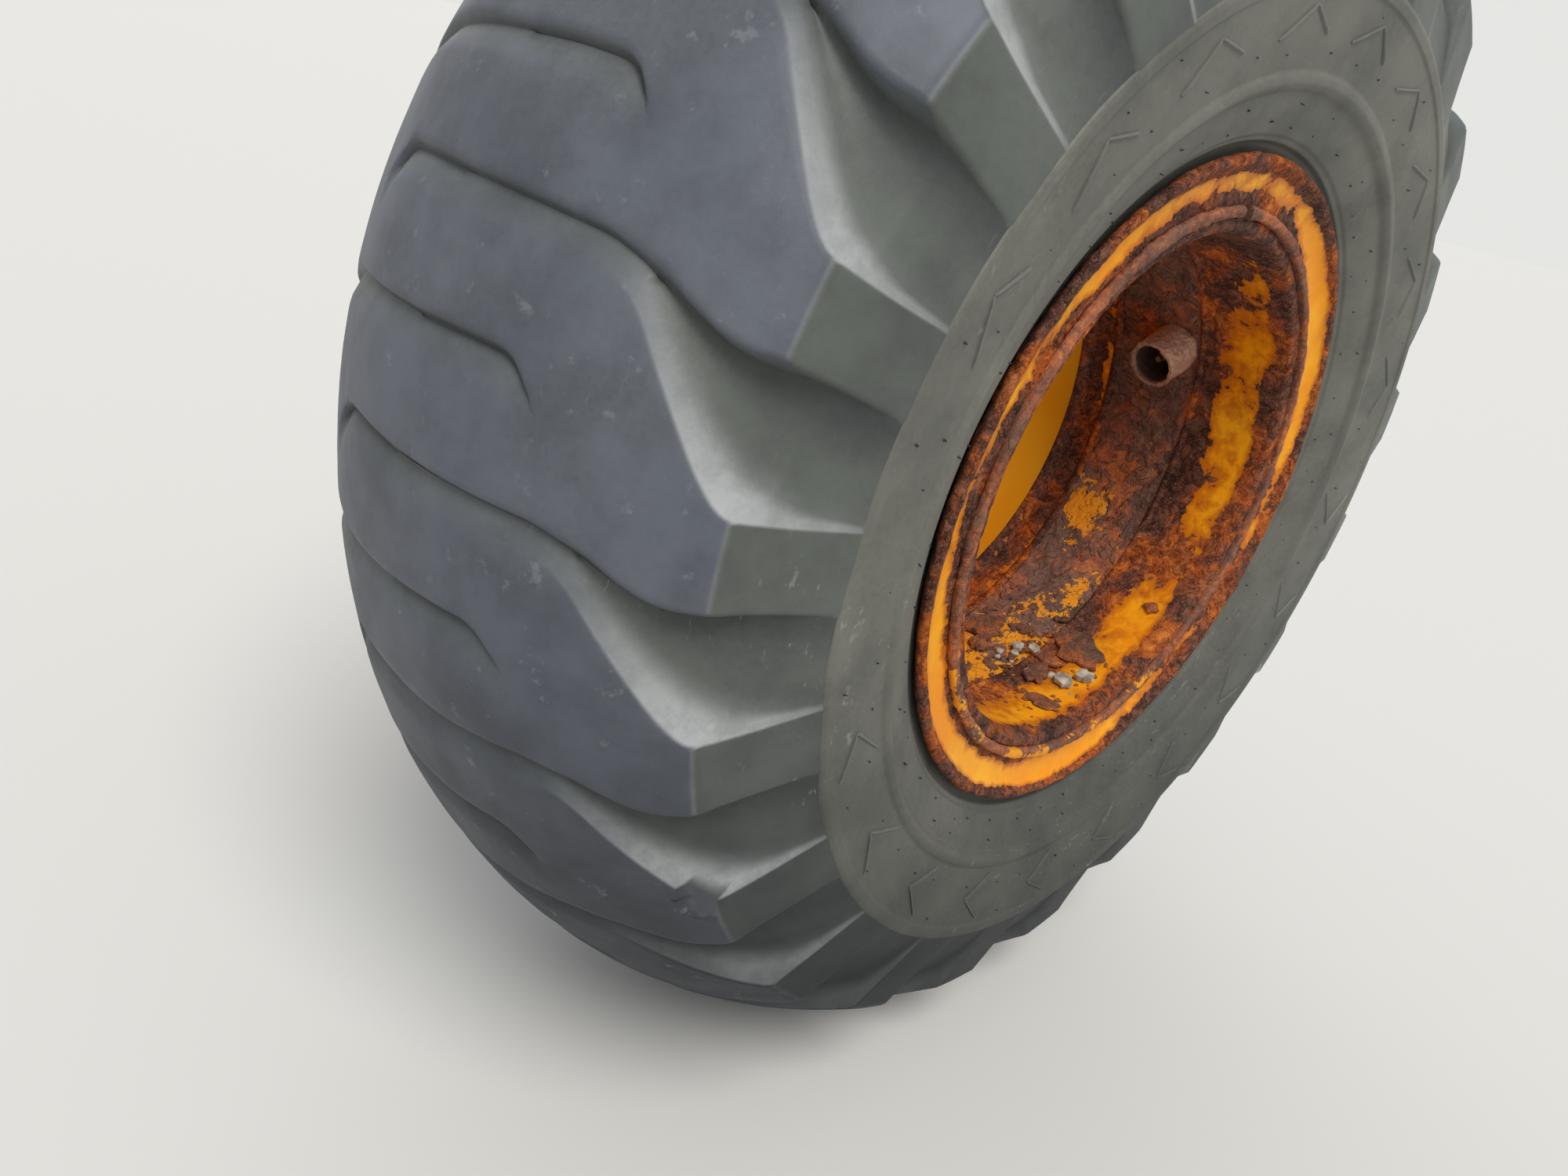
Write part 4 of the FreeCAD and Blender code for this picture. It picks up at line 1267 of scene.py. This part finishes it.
@dataclass
class Litter:
    """Rust plates, flakes and small stones that lie in the bottom of the well."""

    maker: Maker
    patch_radius: float = 296.6
    rest_radius: float = 295.6
    # shares of a bit's width and height at each of its rings
    rings: tuple = ((0.82, -0.3), (1.0, 0.1), (0.93, 0.75), (0.55, 1.0))

    def patch(self, name: str, angles: tuple[float, float], stations: tuple[float, float]) -> Piece:
        """Piece of the barrel's surface that bits are scattered on.

        Args:
            name: the object's name.
            angles: from and to, in degrees.
            stations: from and to along the axis, from the mounting face.

        Returns:
            The patch, facing the axis.
        """
        turn, y = np.radians(np.linspace(*angles, 16)), np.linspace(*stations, 8)
        piece = new_piece(name, on_circle(self.patch_radius, y, turn[:, None]), grid_faces(16, 8, False, False), {})
        if piece.data.polygons[0].normal.z < 0:
            piece.data.flip_normals()
        return piece

    def bit(self, name: str, size: tuple, seed: int, corners: int = 9) -> Piece:
        """Small irregular plate or pebble.

        Args:
            name: the object's name.
            size: half sizes in millimetres.
            seed: which shape.
            corners: corners round it.

        Returns:
            The bit, standing on its own origin.
        """
        chance = np.random.default_rng(seed)
        turn = np.linspace(0, 2 * np.pi, corners, endpoint=False)
        wobble = chance.uniform(0.7, 1.15, corners)
        points = [(size[0] * w * share * math.cos(t), size[1] * w * share * math.sin(t),
                   size[2] * (lift + chance.uniform(-0.12, 0.12)))
                  for share, lift in self.rings for t, w in zip(turn, wobble)]
        return outward(new_piece(name, points, tube_faces(len(self.rings), corners), {"rust": 1.0}, 35))

    def laid(self, name: str, angle: float, y: float, turn: float, size: tuple, seed: int) -> Piece:
        """One larger plate or stone that rests on the barrel.

        Args:
            name: the object's name.
            angle: place round the wheel in degrees.
            y: place along the axis, from the mounting face.
            turn: its turn on the barrel in degrees.
            size: half sizes round the wheel, along the axis and high, in millimetres.
            seed: which shape.

        Returns:
            The bit.
        """
        bit = self.bit(name, size, seed, 17)
        out, along = on_wheel(math.radians(angle))
        spin = math.radians(turn)
        flat_x, flat_y, height = vertices(bit).T
        across = flat_x * math.cos(spin) - flat_y * math.sin(spin)
        sag = self.rest_radius - np.sqrt(self.rest_radius**2 - across**2)
        lift = height + sag + size[2] * 0.25
        spots = np.outer(self.rest_radius - lift, out) + np.outer(across, along)
        spots[:, 1] = y + flat_x * math.sin(spin) + flat_y * math.cos(spin)
        bit.data.vertices.foreach_set("co", (spots * MM).ravel())
        return outward(bit)

    def build(self, rusty: Material, flake: Material, stone: Material) -> None:
        """Scatters the small bits and lays the larger ones.

        Args:
            rusty: scaled rust.
            flake: orange-brown flakes.
            stone: pale stone.
        """
        sets = [
            # name, angles, stations, half sizes, density, smallest, largest, finish, seed
            ("rust_flakes", (-118, -52), (-200, -74), (7, 5, 1.2), 2600.0, 0.3, 1.5, rusty, 7),
            ("rust_crumbs", (-96, -58), (-284, -180), (3.4, 2.6, 1.4), 3800.0, 0.4, 1.8, flake, 11),
            ("small_stones", (-80, -66), (-276, -150), (5, 4, 3.4), 900.0, 0.4, 1.6, stone, 3),
        ]
        for name, angles, stations, size, density, smallest, largest, finish, seed in sets:
            bit = self.bit(f"{name}_bit", size, seed)
            piece = shape(self.patch(name, angles, stations), self.maker.shapers.scatter, {
                "Bit": bit, "Density": density, "Smallest": smallest, "Largest": largest, "Seed": seed,
                "Material": finish})
            bpy.data.objects.remove(bit)
            self.maker.hand_in(piece, finish, Slot.RUST)
        bits = [
            # name, angle, y, turn, half sizes, finish, seed
            ("scale_plate", -62.2, -229, -12, (27, 41, 4.2), rusty, 21),
            ("broken_plate", -76.6, -219, 30, (26, 17, 4.5), rusty, 22),
            ("broken_plate_end", -70.5, -214, 8, (11, 24, 5.0), rusty, 23),
            ("peeled_flake", -85.6, -262, 10, (16, 25, 2.4), flake, 24),
            ("dirt_clod", -71.5, -110, 0, (30, 26, 7.0), rusty, 25),
            ("dirt_clod_low", -78.5, -128, 40, (20, 13, 5.0), rusty, 26),
            ("curled_flake", -41.0, -268, 0, (9, 11, 3.0), flake, 27),
            ("pale_stone", -69.5, -267, 20, (9, 13, 9.0), stone, 28),
            ("grey_stone", -74.7, -252, 0, (13, 14, 8.5), stone, 29),
            ("grey_stone_small", -72.1, -168, 0, (10, 8, 6.5), stone, 30),
            ("grey_stone_flat", -69.6, -186, 50, (11, 8, 5.0), stone, 31),
        ]
        for name, angle, y, turn, size, finish, seed in bits:
            self.maker.hand_in(self.laid(name, angle, y, turn, size, seed), finish, Slot.RUST)


@dataclass
class Studio:
    """Camera at the photograph's place, plain pale floor and soft light."""

    eye: tuple = (-1.23357, -0.88318, 0.37548)
    lens: float = 27.531
    right: tuple = (0.70584249, -0.67642075, 0.21033627)
    up: tuple = (0.14764681, 0.43089391, 0.89024202)
    back: tuple = (-0.6928108, -0.59731517, 0.4040146)
    floor_height: float = -0.7722
    floor_reach: float = 40.0

    def camera(self) -> None:
        """Sets the camera."""
        data = bpy.data.cameras.new("camera")
        data.sensor_width, data.sensor_fit = 36.0, "HORIZONTAL"
        data.lens, data.clip_start = self.lens, 0.01
        eye = shown("camera", data)
        eye.matrix_world = Matrix.Translation(self.eye) @ Matrix((self.right, self.up, self.back)).transposed().to_4x4()
        bpy.context.scene.camera = eye

    def sun(self, name: str, towards: tuple, strength: float, softness: float, colour: tuple) -> None:
        """Adds one soft distant lamp.

        Args:
            name: its name.
            towards: direction from the wheel to the lamp.
            strength: its strength, where 3.14 lights a white surface that faces it fully.
            softness: its width in degrees as the wheel sees it.
            colour: its colour.
        """
        data = bpy.data.lights.new(name, "SUN")
        data.energy, data.angle, data.color = strength, math.radians(softness), colour
        shown(name, data).rotation_euler = Vector(towards).to_track_quat("Z", "Y").to_euler()

    def world(self) -> None:
        """Pale sky that lights softly and shows nearly white."""
        world = bpy.data.worlds.new("sky")
        world.use_nodes = True
        bpy.context.scene.world = world
        world.node_tree.nodes.clear()
        s = Sheet(world.node_tree)
        path = outputs_of(s, s.node("ShaderNodeLightPath"))
        seen = s.math("MAXIMUM", path["Is Glossy Ray"], path["Is Transmission Ray"])
        seen = s.math("MAXIMUM", path["Is Camera Ray"], seen)
        soft = s.add("ShaderNodeBackground", {"Color": (0.94, 0.96, 1.0, 1.0), "Strength": 0.48})
        pale = s.add("ShaderNodeBackground", {"Color": (0.79, 0.79, 0.77, 1.0), "Strength": 1.0})
        s.node("ShaderNodeOutputWorld", {"Surface": s.add("ShaderNodeMixShader", {0: seen, 1: soft, 2: pale})})

    def floor(self) -> None:
        """Lays the floor."""
        mesh = bpy.data.meshes.new("floor")
        corners = [(x, y, self.floor_height) for x, y in ((-1, -1), (1, -1), (1, 1), (-1, 1))]
        mesh.from_pydata([(x * self.floor_reach, y * self.floor_reach, z) for x, y, z in corners], [], [(0, 1, 2, 3)])
        floor = shown("floor", mesh)
        made, sheet, shader, _ = new_material("floor")
        sheet.fill(shader, {"Base Color": "d9d8d4", "Roughness": 0.9})
        coat(floor, made)

    def build(self) -> None:
        """Sets up the whole studio."""
        bpy.context.scene.view_settings.view_transform = "Standard"
        self.camera()
        self.world()
        self.floor()
        self.sun("key", (-0.3, -0.55, 0.9), 2.25, 30.0, (1.0, 0.98, 0.94))
        self.sun("back_light", (0.5, 0.8, 0.55), 0.6, 60.0, (0.96, 0.98, 1.0))


def main() -> None:
    """Builds the studio and every sub-assembly in order."""
    logging.basicConfig(level=logging.INFO, format="%(name)s %(message)s")
    Studio().build()
    maker = Maker(Effects(), Shapers())
    finishes = (
        RubberFinish("tread_rubber", "575c68", "555a55", "7f817c", 0.22),
        RubberFinish("sidewall_rubber", "5f605a", "62635c", "918f80", 0.36, painted_bottom_shade=0.55),
        RubberFinish("nub_rubber", "2e3030", "2c2e2e", "5a5a52", 0.1),
        PaintFinish("rim_paint"),
        # brighter and yellower than the rim's paint, so that the disc in the well's shade looks sunlit: partly painted
        # light
        PaintFinish("disc_paint", paint="ffa00e", faded="ffae1c", amount=0.06),
        PaintFinish("weld_paint", amount=0.3, crust=0.4),
        ScaleFinish("band_rust", paint_left=0.5, pale="a8877a", relief=0.007, warmth=0.42),
        # its pale dust on faces that face up is partly real dust and partly a painted highlight on the ring's lower
        # faces
        ScaleFinish("ring_rust", crust=0.4, paint_left=0.37, pale="c0896a", warmth=0.8),
        ScaleFinish("guard_rust", crust=0.1, pale="d9a98e", dust=1.5, relief=0.005),
        ScaleFinish("litter_rust", crust=0.3, pale="7c6048"),
        ScaleFinish("flake_rust", crust=0.1, paint_left=0.25, pale="c07a3c"),
        PlainFinish("pale_stone", "7f7768", "c6bfb1"),
        PlainFinish("dull_brass", "4d3a22", "8a713f", metal=0.6, rough=0.5),
    )
    coats = {finish.name: finish.material(maker.effects) for finish in finishes}
    Tread(maker).build(coats["tread_rubber"])
    Casing(maker).build(coats["sidewall_rubber"])
    SidewallMarks(maker).build(coats["sidewall_rubber"])
    VentNubs(maker).build(coats["nub_rubber"])
    SideRing(maker).build(coats["rim_paint"])
    RimBase(maker).build(coats["rim_paint"], coats["band_rust"], coats["weld_paint"])
    LockRing(maker).build(coats["ring_rust"])
    ValveGuard(maker).build(coats["guard_rust"], coats["dull_brass"])
    Litter(maker).build(coats["litter_rust"], coats["flake_rust"], coats["pale_stone"])
    for node, name in (("wheel_disc", "disc_paint"), ("bead_seat_band", "ring_rust")):
        coat(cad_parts[node], coats[name])
        LOG.info("%s keeps its CAD shape", node)
    LOG.info("%d pieces made", len(maker.finished))


if __name__ == "__main__":
    main()
